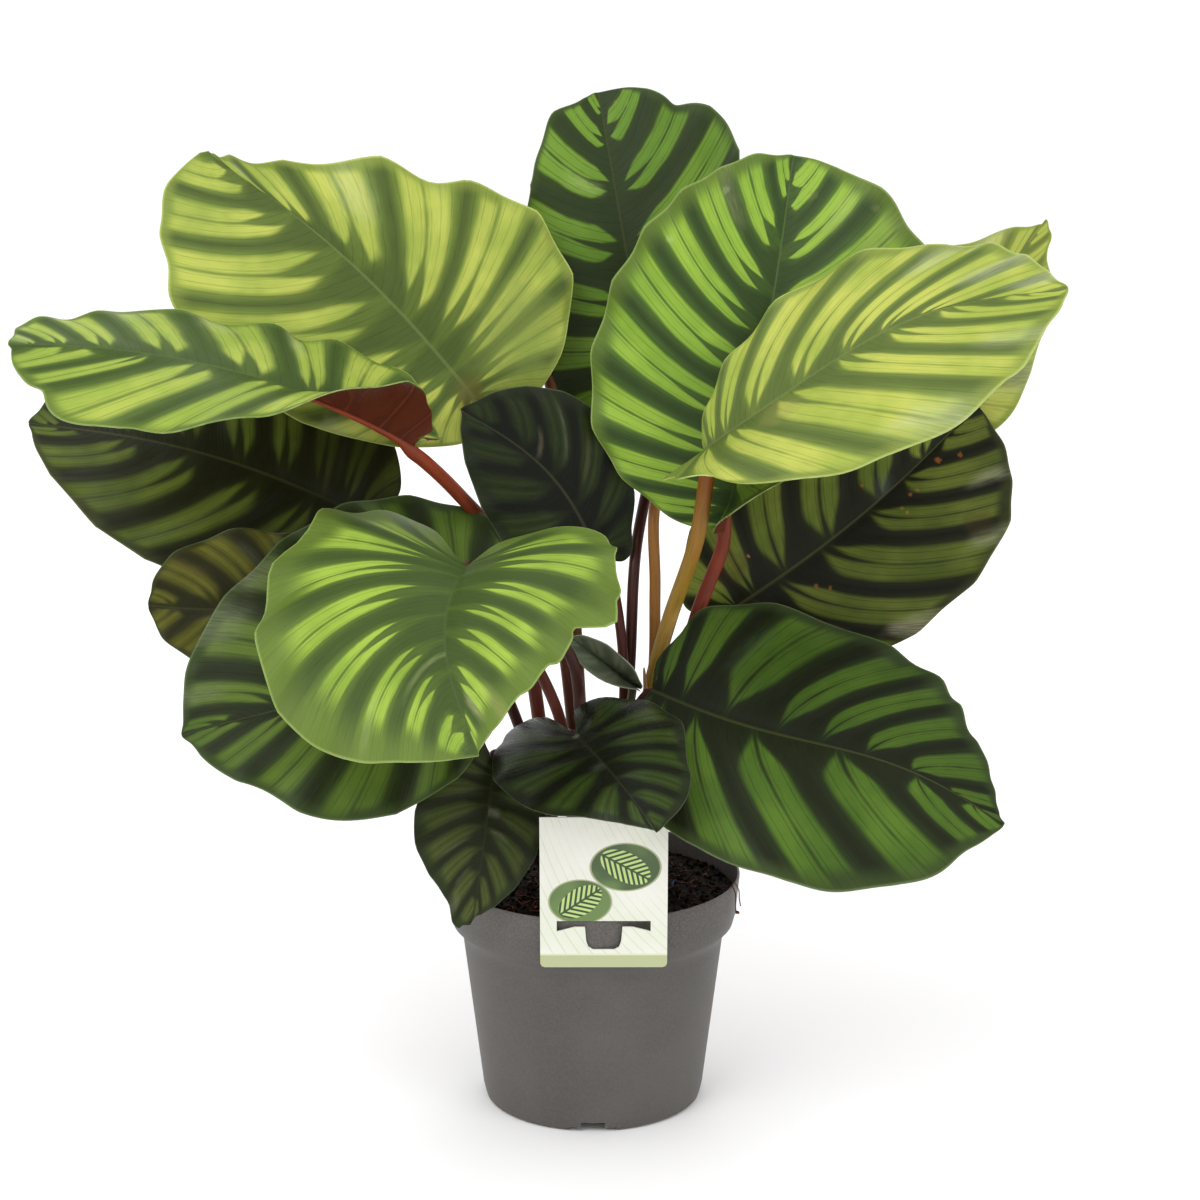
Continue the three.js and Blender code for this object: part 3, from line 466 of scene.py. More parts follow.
# Petiole colours from the soil to the blade
PLAIN_STEM = ((40, 24, 20), (56, 26, 18), (72, 34, 24))
STEMS = {
    "top_left": ((56, 30, 18), (84, 42, 22), (96, 52, 28)),
    "side_left": ((64, 26, 14), (100, 42, 24), (128, 54, 28)),
    "low_left": ((62, 26, 14), (88, 38, 20), (100, 44, 26)),
    "top_right": ((84, 28, 14), (100, 36, 18), (112, 46, 24)),
    "side_right": ((140, 124, 36), (146, 116, 44), (124, 56, 24)),
    "far_right": ((92, 60, 22), (104, 66, 26), (104, 62, 28)),
    "mid_right": ((84, 54, 20), (92, 60, 24), (86, 54, 24)),
    "back_left": ((76, 46, 20), (92, 56, 24), (92, 54, 26)),
    "back_middle": ((122, 88, 34), (136, 92, 40), (140, 94, 46)),
    "centre": ((62, 26, 18), (70, 30, 20), (78, 36, 26)),
    "young": ((70, 66, 36), (76, 78, 54), (88, 92, 74)),
}


def tone(colour, scale=1, more=0):
    """An eye colour, 0 to 255, scaled and with more added, as the linear values of shaders."""
    shares = [min(c * scale + more, 255) / 255 for c in colour]
    return tuple(c / 12.92 if c <= 0.04045 else ((c + 0.055) / 1.055) ** 2.4 for c in shares)


def on_circle(radius, angle):
    return radius * math.cos(angle), radius * math.sin(angle)


def of_half(pair, hand):
    return pair[0] if hand > 0 else pair[1]


class Graph:
    """The nodes of one material, with sums, blends and textures written as calls."""

    def __init__(self, name):
        self.material = bpy.data.materials.new(name)
        self.material.use_nodes = True
        self.nodes = self.material.node_tree.nodes
        self.links = self.material.node_tree.links
        self.nodes.clear()
        self.shader = self.nodes.new("ShaderNodeBsdfPrincipled")
        output = self.nodes.new("ShaderNodeOutputMaterial")
        self.links.new(self.shader.outputs["BSDF"], output.inputs["Surface"])

    def put(self, socket, value):
        if isinstance(value, bpy.types.NodeSocket):
            self.links.new(value, socket)
        elif socket.type == "RGBA":
            socket.default_value = (*value, 1)
        else:
            socket.default_value = value

    def node(self, kind, *values, **settings):
        node = self.nodes.new(kind)
        for key, value in settings.items():
            setattr(node, key, value)
        for socket, value in zip(node.inputs, values):
            self.put(socket, value)
        return node

    def math(self, operation, *values):
        return self.node("ShaderNodeMath", *values, operation=operation).outputs[0]

    def add(self, first, second):
        return self.math("ADD", first, second)

    def times(self, first, *others):
        for other in others:
            first = self.math("MULTIPLY", first, other)
        return first

    def less(self, first, second):
        return self.math("SUBTRACT", first, second)

    def ease(self, value, low, high, start=0.0, end=1.0):
        """Goes softly from start to end while value goes from low to high."""
        inputs = (value, low, high, start, end)
        return self.node("ShaderNodeMapRange", *inputs, interpolation_type="SMOOTHSTEP").outputs[0]

    def blend(self, share, first, second, kind="MIX"):
        node = self.node("ShaderNodeMix", data_type="RGBA", blend_type=kind)
        for index, value in ((0, share), (6, first), (7, second)):
            self.put(node.inputs[index], value)
        return node.outputs[2]

    def tint(self, colour, share, shade, *change):
        """Lays an eye colour over a colour."""
        return self.blend(share, colour, tone(shade, *change))

    def attribute(self, name):
        return self.node("ShaderNodeAttribute", attribute_name=name).outputs["Fac"]

    def vector(self, x=0.0, y=0.0, z=0.0):
        return self.node("ShaderNodeCombineXYZ", x, y, z).outputs[0]

    def away(self, first, second):
        """How far the first value lies from the second, either way."""
        return self.math("ABSOLUTE", self.less(first, second))

    def oval(self, places, radii):
        """How far out a place lies in an oval, 1 being the outline."""
        squares = [self.math("POWER", self.math("DIVIDE", p, r), 2) for p, r in zip(places, radii)]
        return self.math("SQRT", self.add(*squares))

    def place(self):
        return self.node("ShaderNodeTexCoord").outputs["Object"]

    def split(self, vector):
        return self.node("ShaderNodeSeparateXYZ", vector).outputs

    def noise(self, vector, scale, detail=2.0):
        node = self.node("ShaderNodeTexNoise")
        self.put(node.inputs["Vector"], vector)
        node.inputs["Scale"].default_value = scale
        node.inputs["Detail"].default_value = detail
        return node.outputs["Fac"]

    def chance(self, value, salt):
        node = self.node("ShaderNodeTexWhiteNoise", noise_dimensions="1D")
        self.put(node.inputs["W"], self.add(value, salt))
        return node.outputs["Value"]

    def bump(self, height, strength, distance):
        node = self.node("ShaderNodeBump")
        node.inputs["Strength"].default_value = strength
        node.inputs["Distance"].default_value = distance
        self.put(node.inputs["Height"], height)
        self.put(self.shader.inputs["Normal"], node.outputs[0])

    def finish(self, colour, roughness, **plain):
        self.put(self.shader.inputs["Base Color"], colour)
        self.put(self.shader.inputs["Roughness"], roughness)
        for key, value in plain.items():
            self.put(self.shader.inputs[key.replace("_", " ")], value)
        return self.material


def add_to_scene(name, data):
    made = bpy.data.objects.new(name, data)
    bpy.context.scene.collection.objects.link(made)
    return made


def make_object(name, points, faces, materials, slots=None, values=None, corners=None, crease=50):
    """A smooth mesh object. Points are in millimetres; values and corners are its attributes."""
    mesh = bpy.data.meshes.new(name)
    mesh.from_pydata((np.asarray(points) * MM).tolist(), [], faces)
    for material in materials:
        mesh.materials.append(material)
    if slots is not None:
        mesh.polygons.foreach_set("material_index", np.asarray(slots, dtype=np.int32))
    for key, data in (values or {}).items():
        mesh.attributes.new(key, "FLOAT", "POINT").data.foreach_set("value", np.ravel(data))
    for key, data in (corners or {}).items():
        mesh.attributes.new(key, "FLOAT", "CORNER").data.foreach_set("value", np.ravel(data))
    mesh.polygons.foreach_set("use_smooth", np.ones(len(mesh.polygons), dtype=bool))
    mesh.set_sharp_from_angle(angle=math.radians(crease))
    mesh.update()
    return add_to_scene(name, mesh)


def enter(piece, node):
    """Puts a piece in the frame: what it rides on, and which node it stands for."""
    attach(piece, BODY)
    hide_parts(node)


class LeafFrame:
    """Base, axes and bend of a leaf."""

    def __init__(self, leaf):
        self.base = np.array(leaf["base"], float)
        self.along = np.array(leaf["tip"], float) - self.base
        chord = np.linalg.norm(self.along)
        self.along /= chord
        azimuth, elevation = np.radians(leaf["face"])
        up = np.array([
            math.sin(azimuth) * math.cos(elevation),
            -math.cos(azimuth) * math.cos(elevation),
            math.sin(elevation),
        ])
        up -= self.along * (up @ self.along)
        self.up = up / np.linalg.norm(up)
        self.side = np.cross(self.along, self.up)
        self.arch = math.radians(leaf["arch"])
        self.radius = chord / (2 * math.sin(self.arch / 2))
        self.length = self.radius * self.arch


def main_veins(leaf, hand):
    """Midrib and margin places of the main side veins of a half, with the base and the tip."""
    veins = of_half(leaf["veins"], hand)
    if isinstance(veins, int):
        ends = [(i + 0.5) / veins for i in range(veins)]
        veins = np.array([(s ** VEIN_LEAD, s) for s in ends])
    else:
        veins = np.array(veins) / 100
    return np.concatenate([[(0, 0)], veins, [(1, 1)]])


def margin_place(leaf, start, hand):
    """Where on the margin the side vein ends that leaves the midrib at start."""
    starts, ends = main_veins(leaf, hand).T
    return np.interp(start, starts, ends)


def vein_count(leaf, start, hand):
    """How many main veins leave the midrib before start, as a number that runs on evenly."""
    starts = main_veins(leaf, hand)[:, 0]
    return np.interp(start, starts, np.arange(len(starts)))


def outline(leaf, length, s, hand):
    """Flat margin of a half leaf at s, its share of the way from base to tip."""
    lobe = of_half(leaf["lobe"], hand)
    turn = np.pi * s
    rounding = np.where(s < 0.5, of_half(leaf["baseRound"], hand), of_half(leaf["tipRound"], hand))
    spread = np.maximum(np.sin(turn), 0) ** rounding
    spread = spread * (1 + of_half(leaf["broad"], hand) * np.cos(turn))
    reach = (1 - lobe) / 2 - ((1 + lobe) / 2) * np.cos(turn)
    reach = reach + np.where(s < 0.5, lobe * np.exp(-((spread / 0.16) ** 2)), 0)
    reach = reach + TIP_POINT * np.exp(-(((1 - s) / 0.03) ** 2))
    half = leaf["width"] / 2 * (1 + hand * leaf["skew"])
    return reach * length, spread * half


def flat_place(leaf, length, start, t, hand):
    """Flat place on a half leaf: t runs along the side vein that leaves the midrib at start."""
    s = margin_place(leaf, start, hand)
    far, wide = outline(leaf, length, s, hand)
    x = start * length + (far - start * length) * (VEIN_SWEEP * t + (1 - VEIN_SWEEP) * t * t)
    y = wide * t
    before = outline(leaf, length, np.maximum(s - 0.01, 0), hand)
    after = outline(leaf, length, np.minimum(s + 0.01, 1), hand)
    way_x, way_y = after[0] - before[0], after[1] - before[1]
    size = np.hypot(way_x, way_y) + 1e-6
    for side, place, outward, breadth in leaf["trims"]:
        if side == hand:
            push = outward * t ** 3 * np.exp(-(((s - place) / breadth) ** 2)) / size
            x, y = x - push * way_y, y + push * way_x
    return x, np.maximum(y, 0), s


def over_midrib(place, x, sideways, upward):
    """Points over the bent midrib: x along it, with a sideways and an upward offset."""
    angle = x / place.radius - place.arch / 2
    far = place.radius * (np.sin(angle) + math.sin(place.arch / 2)) + np.sin(angle) * upward
    high = place.radius * (np.cos(angle) - math.cos(place.arch / 2)) + np.cos(angle) * upward
    return (
        place.base
        + np.multiply.outer(far, place.along)
        + np.multiply.outer(high, place.up)
        + np.multiply.outer(sideways, place.side)
    )


def bow_at(leaf, place, x):
    """Sideways bend of the whole leaf at x."""
    return leaf["bow"] * np.sin(np.pi * np.clip(x / place.length, 0, 1))


def sway_at(leaf, place, x):
    """Sideways shift of the midrib alone at x."""
    turn = np.pi * np.clip(x / place.length, 0, 1)
    return leaf["sway"][0] * np.sin(turn) + leaf["sway"][1] * np.sin(2 * turn)


def smooth(value, low, high):
    share = np.clip((value - low) / (high - low), 0, 1)
    return share * share * (3 - 2 * share)


def blade_points(leaf, place, start, t, hand):
    """The middle surface of a half blade, with its side veins sunk and its margin scalloped."""
    x, y, s = flat_place(leaf, place.length, start, t, hand)
    count = vein_count(leaf, start, hand)
    crease = np.abs(np.sin(np.pi * count))
    ends = np.sin(np.pi * s) ** 0.6
    y = y + of_half(leaf["scallop"], hand) * t ** 6 * ends * (MEAN_CREASE - crease)
    share = np.clip(x / place.length, 0, 1)
    fold = np.radians(of_half(leaf["fold"], hand) + of_half(leaf["close"], hand) * (1 - share) ** 2)
    bend = math.radians(of_half(leaf["cup"], hand)) / (leaf["width"] / 2)
    sideways = (np.sin(fold + bend * y) - np.sin(fold)) / bend
    rise = (np.cos(fold) - np.cos(fold + bend * y)) / bend
    sideways = hand * sideways + bow_at(leaf, place, x) + sway_at(leaf, place, x) * (1 - t) ** 2
    wave = leaf["wave"] * t ** 3 * np.sin(np.pi * s) * np.cos(2 * np.pi * count)
    inner = smooth(t, 0.02, 0.3) * (1 - smooth(t, 0.8, 1))
    pillow = leaf["relief"] * (crease - MEAN_CREASE) * ends * inner
    groove = -RIB_GROOVE * np.exp(-((y / 2.2) ** 2)) * (1 - share)
    return over_midrib(place, x, sideways, rise + wave + pillow + groove), count, y


def midrib_rows(leaf, rows):
    """Places along the midrib that space the side veins evenly there and on both margins."""
    fine = np.linspace(0, 1, 2001)
    run = fine + margin_place(leaf, fine, 1) + margin_place(leaf, fine, -1)
    u = np.arange(1, rows) / rows
    u = u - 0.5 * np.sin(2 * np.pi * u) / (2 * np.pi)
    return np.interp(3 * u, run, fine)


def both_faces(values, base, tip):
    """Values of the grid with those of the base and the tip, once for each face of a blade."""
    return np.tile(np.concatenate([[base], values.ravel(), [tip]]), 2)


def side_by_side(left, right):
    """The grids of the two halves as one, with the midrib's column once."""
    return np.concatenate([left[:, :0:-1], right], axis=1)


def make_blade(name, leaf, materials):
    """A blade as a thin closed solid with an upper face, a lower face and an edge."""
    place = LeafFrame(leaf)
    rows = max(FEWEST_ROWS, round(place.length / ROW_PITCH))
    t_half = 1 - (1 - np.arange(HALF_COLUMNS + 1) / HALF_COLUMNS) ** MARGIN_CROWDING
    start, t = np.meshgrid(midrib_rows(leaf, rows), t_half, indexing="ij")
    right, right_count, right_y = blade_points(leaf, place, start, t, 1)
    left, left_count, left_y = blade_points(leaf, place, start, t, -1)
    grid = side_by_side(left, right)
    columns = grid.shape[1]
    base = blade_points(leaf, place, np.array([0.0]), np.array([0.0]), 1)[0][0]
    tip = blade_points(leaf, place, np.array([1.0]), np.array([1.0]), 1)[0][0]
    middle = np.concatenate([[base], grid.reshape(-1, 3), [tip]])
    last = len(middle) - 1
    counts = {1: right_count[:, 0], -1: left_count[:, 0] + OTHER_HALF}
    ends = {
        hand: [vein_count(leaf, end, hand) + (OTHER_HALF if hand < 0 else 0) for end in (0, 1)]
        for hand in (1, -1)
    }

    def index(i, j):
        return 1 + i * columns + j

    faces = []
    veins = []
    for j in range(1, columns):
        hand = 1 if j > HALF_COLUMNS else -1
        count = counts[hand]
        faces.append((0, index(0, j), index(0, j - 1)))
        veins.append((ends[hand][0], count[0], count[0]))
        for i in range(rows - 2):
            faces.append((index(i, j - 1), index(i, j), index(i + 1, j), index(i + 1, j - 1)))
            veins.append((count[i], count[i], count[i + 1], count[i + 1]))
        faces.append((last, index(rows - 2, j - 1), index(rows - 2, j)))
        veins.append((ends[hand][1], count[-1], count[-1]))

    normals = np.zeros_like(middle)
    for face in faces:
        corners = middle[list(face)]
        normal = np.cross(corners[2] - corners[0], corners[-1] - corners[1])
        if len(face) == 3:
            normal = np.cross(corners[1] - corners[0], corners[2] - corners[0])
        normals[list(face)] += normal
    normals /= np.linalg.norm(normals, axis=1)[:, None]
    points = np.concatenate([middle + normals * BLADE_THICK / 2, middle - normals * BLADE_THICK / 2])
    total = len(middle)
    lower = [tuple(total + i for i in reversed(face)) for face in faces]
    right_side = [index(i, columns - 1) for i in range(rows - 1)]
    left_side = [index(i, 0) for i in reversed(range(rows - 1))]
    margin = [0, *right_side, last, *left_side]
    rim = [(a, total + a, total + b, b) for a, b in zip(margin, margin[1:] + margin[:1])]
    corners = np.concatenate(
        [np.ravel(v) for v in veins] + [np.ravel(v[::-1]) for v in veins] + [np.zeros(4 * len(rim))]
    )
    values = {
        "across": both_faces(side_by_side(t, t), 0, 1),
        "rib": both_faces(side_by_side(left_y, right_y), 0, 0),
        "along": both_faces(side_by_side(start, start), 0, 1),
    }
    slots = [0] * len(faces) + [1] * len(lower) + [2] * len(rim)
    return make_object(
        name, points, faces + lower + rim, materials, slots, values, corners={"vein": corners}
    )


def leaf_stripes(g, look):
    """Where a leaf's vein number, stripes, dark bands' borders and fine veins lie."""
    vein = g.attribute("vein")
    across = g.attribute("across")
    along = g.attribute("along")
    soft, split = look["soft"], look["split"]
    wobble = g.less(g.noise(g.vector(g.times(vein, 2.5), g.times(across, 2)), 1.6), 0.5)
    finger = g.math("FLOOR", g.times(vein, 2))
    long_chance = g.less(g.chance(finger, 0.37), 0.5)
    wide_chance = g.less(g.chance(finger, 7.61), 0.5)
    gap = g.times(g.math("PINGPONG", vein, 0.5), 2)
    gap = g.add(gap, g.times(wobble, 0.16))
    reach = g.add(across, g.add(0.23 - look["start"], g.times(long_chance, 0.12 * split)))
    band = g.add(g.ease(reach, 0.02, 0.42, 1.0, look["band"]), g.times(wide_chance, 0.14 * split))
    wedge = g.ease(reach, 0.05, 0.62, 0.42 * split, 0.03 * split)
    stripe = g.times(
        g.ease(gap, g.less(band, 0.05 * soft), g.add(band, 0.08 * soft)),
        g.ease(g.less(1.0, gap), g.less(wedge, 0.03 * soft), g.add(wedge, 0.05 * soft)),
        g.ease(g.add(across, g.times(wide_chance, 0.08)), look["fade"][1], look["fade"][0]),
        g.ease(along, 0.0, 0.03),
        g.ease(along, 0.995, 0.97),
    )
    halo = g.ease(gap, g.less(band, 0.35), g.add(band, 0.02))
    grain = g.noise(g.vector(g.times(vein, 16), g.times(across, 2.5)), 3, 3)
    fine = g.times(g.math("PINGPONG", g.times(g.add(vein, g.times(wobble, 0.04)), 7), 0.5), 2)
    line = g.ease(g.add(fine, g.times(g.less(grain, 0.5), 0.3)), 0.2, 0.03)
    return dict(
        vein=vein, across=across, along=along, gap=gap, wobble=wobble, stripe=stripe,
        halo=halo, grain=grain, line=line,
    )


def add_marks(g, colour, look, leaf):
    """Lays a leaf's spots and tints over its colour."""
    if not look["marks"]:
        return colour
    place = LeafFrame(leaf)
    for hand, start, across, radius, tint, strength in look["marks"]:
        patchy = g.less(g.noise(g.place(), 1.2 / (radius * MM), 3), 0.5)
        spot = blade_points(leaf, place, np.array([start]), np.array([across]), hand)[0][0]
        near = g.node("ShaderNodeVectorMath", g.place(), tuple(spot * MM), operation="DISTANCE")
        away = g.add(near.outputs["Value"], g.times(patchy, radius * MM * 1.4))
        share = g.ease(away, radius * MM, radius * 0.35 * MM, 0, strength)
        colour = g.tint(colour, share, tint)
    return colour


def add_painted_sheen_and_shade(g, colour, look, at):
    """Lays a leaf's painted highlights and painted shade, as streaks along its side veins, over its
    colour.
    """
    if not look["painted_sheen_and_shade"]:
        return colour
    uneven = g.ease(at["grain"], 0.3, 0.7, 0.35, 1.0)
    drift = g.less(g.noise(g.place(), 45, 2), 0.5)
    for hand, number, across, width, length, tint, strength in look["painted_sheen_and_shade"]:
        number += OTHER_HALF if hand < 0 else 0
        beside = g.away(g.add(at["vein"], g.times(drift, width)), number)
        away = g.away(g.add(at["across"], g.times(drift, length)), across)
        share = g.times(g.ease(beside, width, 0.0), g.ease(away, length, length * 0.2), uneven)
        colour = g.tint(colour, g.times(share, strength), tint)
    return colour


def upper_material(name, look, leaf):
    """The striped upper face of a leaf."""
    g = Graph(f"{name}_upper")
    at = leaf_stripes(g, look)
    across, along, grain, line = (at[key] for key in ("across", "along", "grain", "line"))
    cloud = g.noise(g.place(), 22, 3)
    stripe = g.blend(g.ease(cloud, 0.35, 0.65), tone(look["bright"]), tone(look["pale"]))
    stripe = g.tint(stripe, g.times(line, look["lines"]), look["mid"])
    outer = g.ease(across, 0.1, 0.9, 0.35, 1.0)
    ground = g.blend(g.times(at["halo"], outer), tone(look["dark"]), tone(look["mid"]))
    ground = g.tint(ground, g.times(line, 0.3), look["dark"], 0.75)
    colour = g.blend(at["stripe"], ground, stripe)
    rim = g.ease(g.add(across, g.times(at["wobble"], 0.08)), look["fade"][0] - 0.02, 1.0)
    colour = g.tint(colour, g.times(rim, 0.7), look["edge"])
    narrow = g.ease(along, 0, 1, 0.6, 0.2)
    thin = g.ease(g.attribute("rib"), g.ease(along, 0, 1, 1.4, 0.6), narrow)
    colour = g.tint(colour, g.times(thin, 0.6), look["rib"])
    # A thin pale line along the margin: a painted edge highlight
    colour = g.tint(colour, g.ease(across, 0.985, 0.999), look["edge"], 1, 30)
    shade = g.ease(g.add(g.times(grain, 0.5), g.times(cloud, 0.5)), 0.3, 0.7, 0.88, 1.1)
    # Painted light and shade: each half's brightness is scaled by its factor in halves
    shade = g.times(shade, g.ease(at["vein"], OTHER_HALF - 6, OTHER_HALF - 5, *look["halves"]))
    shade = g.node("ShaderNodeCombineColor", shade, shade, shade).outputs[0]
    colour = g.blend(1.0, colour, shade, "MULTIPLY")
    # Painted highlights and painted shade as streaks along the side veins
    colour = add_painted_sheen_and_shade(g, colour, look, at)
    colour = add_marks(g, colour, look, leaf)
    g.bump(g.add(g.times(line, -0.6), g.times(grain, 0.8)), 0.3, 0.0004)
    roughness = g.ease(grain, 0.3, 0.7, look["gloss"] - 0.05, look["gloss"] + 0.08)
    return g.finish(colour, roughness, Specular_IOR_Level=LEAF_SPECULAR)


def lower_material(name, look):
    """The satin lower face of a leaf, with paler side veins."""
    g = Graph(f"{name}_lower")
    at = leaf_stripes(g, look)
    under = look["under"]
    colour = g.blend(g.times(at["halo"], 0.5), tone(under), tone(under, 1.25))
    colour = g.tint(colour, g.ease(at["grain"], 0.3, 0.8, 0, 0.4), under, 0.7)
    colour = g.tint(colour, g.ease(at["gap"], 0.1, 0.02, 0, 0.5), under, 1.5)
    colour = g.tint(colour, g.ease(at["across"], 0.96, 1.0), look["edge"])
    g.bump(g.add(g.ease(at["gap"], 0.12, 0.0), g.times(at["grain"], 0.5)), 0.3, 0.0005)
    roughness = g.ease(at["grain"], 0.3, 0.7, 0.34, 0.46)
    return g.finish(colour, roughness, Specular_IOR_Level=LEAF_SPECULAR * 2)


def margin_material(name, look):
    """The thin edge of a leaf, painted paler than its margin colour in spots as an edge highlight."""
    g = Graph(f"{name}_margin")
    spots = g.noise(g.place(), 160, 2)
    light, dim = tone(look["edge"], 1, 36), tone(look["edge"], 1, 6)
    colour = g.blend(g.ease(spots, 0.4, 0.65), light, dim)
    return g.finish(colour, g.ease(spots, 0.3, 0.7, 0.45, 0.6))


def spline(points, steps):
    """Centripetal curve through the points, with that many steps from each to the next."""
    points = [np.array(p, float) for p in points]
    knots = [2 * points[0] - points[1], *points, 2 * points[-1] - points[-2]]
    path = []
    for p0, p1, p2, p3 in zip(knots, knots[1:], knots[2:], knots[3:]):
        spans = ((p0, p1), (p1, p2), (p2, p3))
        d0, d1, d2 = (max(math.sqrt(np.linalg.norm(b - a)), 1e-4) for a, b in spans)
        m1 = ((p1 - p0) / d0 - (p2 - p0) / (d0 + d1) + (p2 - p1) / d1) * d1
        m2 = ((p2 - p1) / d1 - (p3 - p1) / (d1 + d2) + (p3 - p2) / d2) * d1
        for k in range(steps):
            w = k / steps
            path.append(
                p1 + m1 * w
                + (3 * (p2 - p1) - 2 * m1 - m2) * w * w
                + (2 * (p1 - p2) + m1 + m2) * w ** 3
            )
    path.append(points[-1])
    return np.array(path)


def tube_rings(path, radii, sides):
    """Rings of points round a path, carried along without twist."""
    ways = np.gradient(path, axis=0)
    ways /= np.linalg.norm(ways, axis=1)[:, None]
    angles = 2 * np.pi * np.arange(sides) / sides
    across = np.array([1.0, 0, 0])
    rings = []
    for point, way, radius in zip(path, ways, radii):
        across = across - way * (across @ way)
        across /= np.linalg.norm(across)
        over = np.cross(way, across)
        circle = np.outer(np.cos(angles), across) + np.outer(np.sin(angles), over)
        rings.append(point + radius * circle)
    return rings


def tube_faces(count, sides, start=0):
    """Faces of a tube of that many rings, closed at both ends."""
    faces = []
    for i in range(count - 1):
        for j in range(sides):
            k = (j + 1) % sides
            low, high = start + i * sides, start + (i + 1) * sides
            faces.append((low + j, low + k, high + k, high + j))
    faces.append(tuple(start + j for j in reversed(range(sides))))
    faces.append(tuple(start + (count - 1) * sides + j for j in range(sides)))
    return faces


def make_stem(name, path, radii, material):
    points = np.concatenate(tube_rings(path, radii, STEM_SIDES))
    faces = tube_faces(len(path), STEM_SIDES)
    run = np.concatenate([[0], np.cumsum(np.linalg.norm(np.diff(path, axis=0), axis=1))])
    turn = np.tile(np.arange(STEM_SIDES) / STEM_SIDES, len(path))
    values = {"run": np.repeat(run, STEM_SIDES), "turn": turn}
    return make_object(name, points, faces, [material], values=values)


def make_petiole(name, leaf, material):
    """A petiole: up from the soil out of a wider sheath, narrowing below the blade, then on as the
    midrib's ridge.
    """
    place = LeafFrame(leaf)
    share = min(1, leaf["width"] / SMALL_BLADE)
    thick = leaf["petiole"]

    def under(x, drop):
        return over_midrib(place, x, bow_at(leaf, place, x) + sway_at(leaf, place, x), -drop)

    behind, run = (x * share for x in leaf["joint"])
    way = [
        *leaf["via"],
        under(behind, thick + 1.6),
        under((behind + run) / 2, thick + 0.4),
        under(run, RIDGE_RADIUS + RIB_GROOVE),
    ]
    stalk = spline([(*leaf["root"], ROOT_TOP), *way], STEM_STEPS)
    ridge_x = np.linspace(run, RIDGE_SHARE * place.length, RIDGE_STEPS)[1:]
    ridge_radius = np.linspace(RIDGE_RADIUS, RIDGE_TIP_RADIUS, RIDGE_STEPS)[1:]
    ridge = np.array([under(x, r + RIB_GROOVE) for x, r in zip(ridge_x, ridge_radius)])
    path = np.concatenate([[(*leaf["root"], ROOT_BOTTOM)], stalk, ridge])
    radii = []
    for i, point in enumerate(path[:-len(ridge)]):
        left = len(path) - len(ridge) - 1 - i
        sheath = np.clip((SHEATH_TOP - point[2]) / (SHEATH_TOP - ROOT_TOP), 0, 1)
        radius = thick + (SHEATH_RADIUS - thick) * sheath
        if left < STEM_STEPS:
            radius = RIDGE_RADIUS + (thick - RIDGE_RADIUS) * left / STEM_STEPS
        radii.append(radius)
    return make_stem(name, path, np.array([*radii, *ridge_radius]), material)


def stem_material(name, colours, length):
    """A petiole's skin: streaked along its run, from its colour in the soil to that at the blade."""
    g = Graph(name)
    run = g.attribute("run")
    share = g.math("DIVIDE", run, length)
    turn = g.math("PINGPONG", g.attribute("turn"), 0.5)
    streak = g.noise(g.vector(g.times(turn, 30), g.times(run, 0.05)), 1, 3)
    patch = g.noise(g.place(), 40, 2)
    low, middle, high = colours
    colour = g.tint(tone(low), g.ease(share, 0.1, 0.55), middle)
    colour = g.tint(colour, g.ease(share, 0.6, 1.0), high)
    colour = g.tint(colour, g.ease(streak, 0.45, 0.75, 0, 0.5), middle, 0.62)
    colour = g.tint(colour, g.ease(patch, 0.5, 0.75, 0, 0.25), high, 1.3)
    g.bump(streak, 0.25, 0.0004)
    return g.finish(colour, g.ease(patch, 0.3, 0.7, 0.3, 0.42), Specular_IOR_Level=STEM_SPECULAR)


def lathe(profile, segments):
    """Points and faces of a profile of radius and height turned round the pot's axis."""
    angles = [2 * math.pi * i / segments for i in range(segments)]
    points = []
    rings = []
    for radius, z in profile:
        around = angles if radius else [0]
        rings.append(range(len(points), len(points) + len(around)))
        points += [(*on_circle(radius, a), z) for a in around]
    faces = []
    for low, high in zip(rings, rings[1:]):
        for j in range(segments):
            k = (j + 1) % segments
            places = ((low, j), (low, k), (high, k), (high, j))
            corners = (ring[i % len(ring)] for ring, i in places)
            faces.append(tuple(dict.fromkeys(corners)))
    return points, faces


def fine_profile(corners, pitch):
    """A profile with points added along its straight stretches."""
    fine = [corners[0]]
    for (r0, z0), (r1, z1) in zip(corners, corners[1:]):
        steps = max(1, round(math.hypot(r1 - r0, z1 - z0) / pitch))
        fine += [(r0 + (r1 - r0) * i / steps, z0 + (z1 - z0) * i / steps) for i in range(1, steps + 1)]
    return fine


def pot_material():
    """Grey moulded plastic, paler in speckles towards the rim, with faint flow lines and scuffs."""
    g = Graph("pot_plastic")
    place = g.place()
    x, y, z = g.split(place)
    grain = g.noise(place, 900, 2)
    cloud = g.noise(place, 14, 3)
    turned = g.noise(g.vector(g.times(x, 4), g.times(y, 4), g.times(z, 260)), 1, 2)
    # Paler speckle that grows over the top of the pot up to the rim
    paler_towards_rim = g.ease(z, 0.1, 0.136, 0, 0.25)
    colour = g.blend(g.ease(cloud, 0.35, 0.7), tone((75, 72, 69)), tone((84, 81, 78)))
    colour = g.tint(colour, g.ease(grain, 0.35, 0.7, 0, 0.35), (98, 94, 90))
    colour = g.tint(colour, g.times(g.ease(turned, 0.55, 0.8), 0.1), (100, 97, 94))
    colour = g.tint(colour, g.times(paler_towards_rim, g.ease(grain, 0.4, 0.7)), (124, 120, 114))
    g.bump(g.add(g.times(grain, 0.6), g.times(turned, 0.15)), 0.15, 0.0003)
    return g.finish(colour, g.ease(cloud, 0.3, 0.7, 0.46, 0.56), Specular_IOR_Level=0.3)


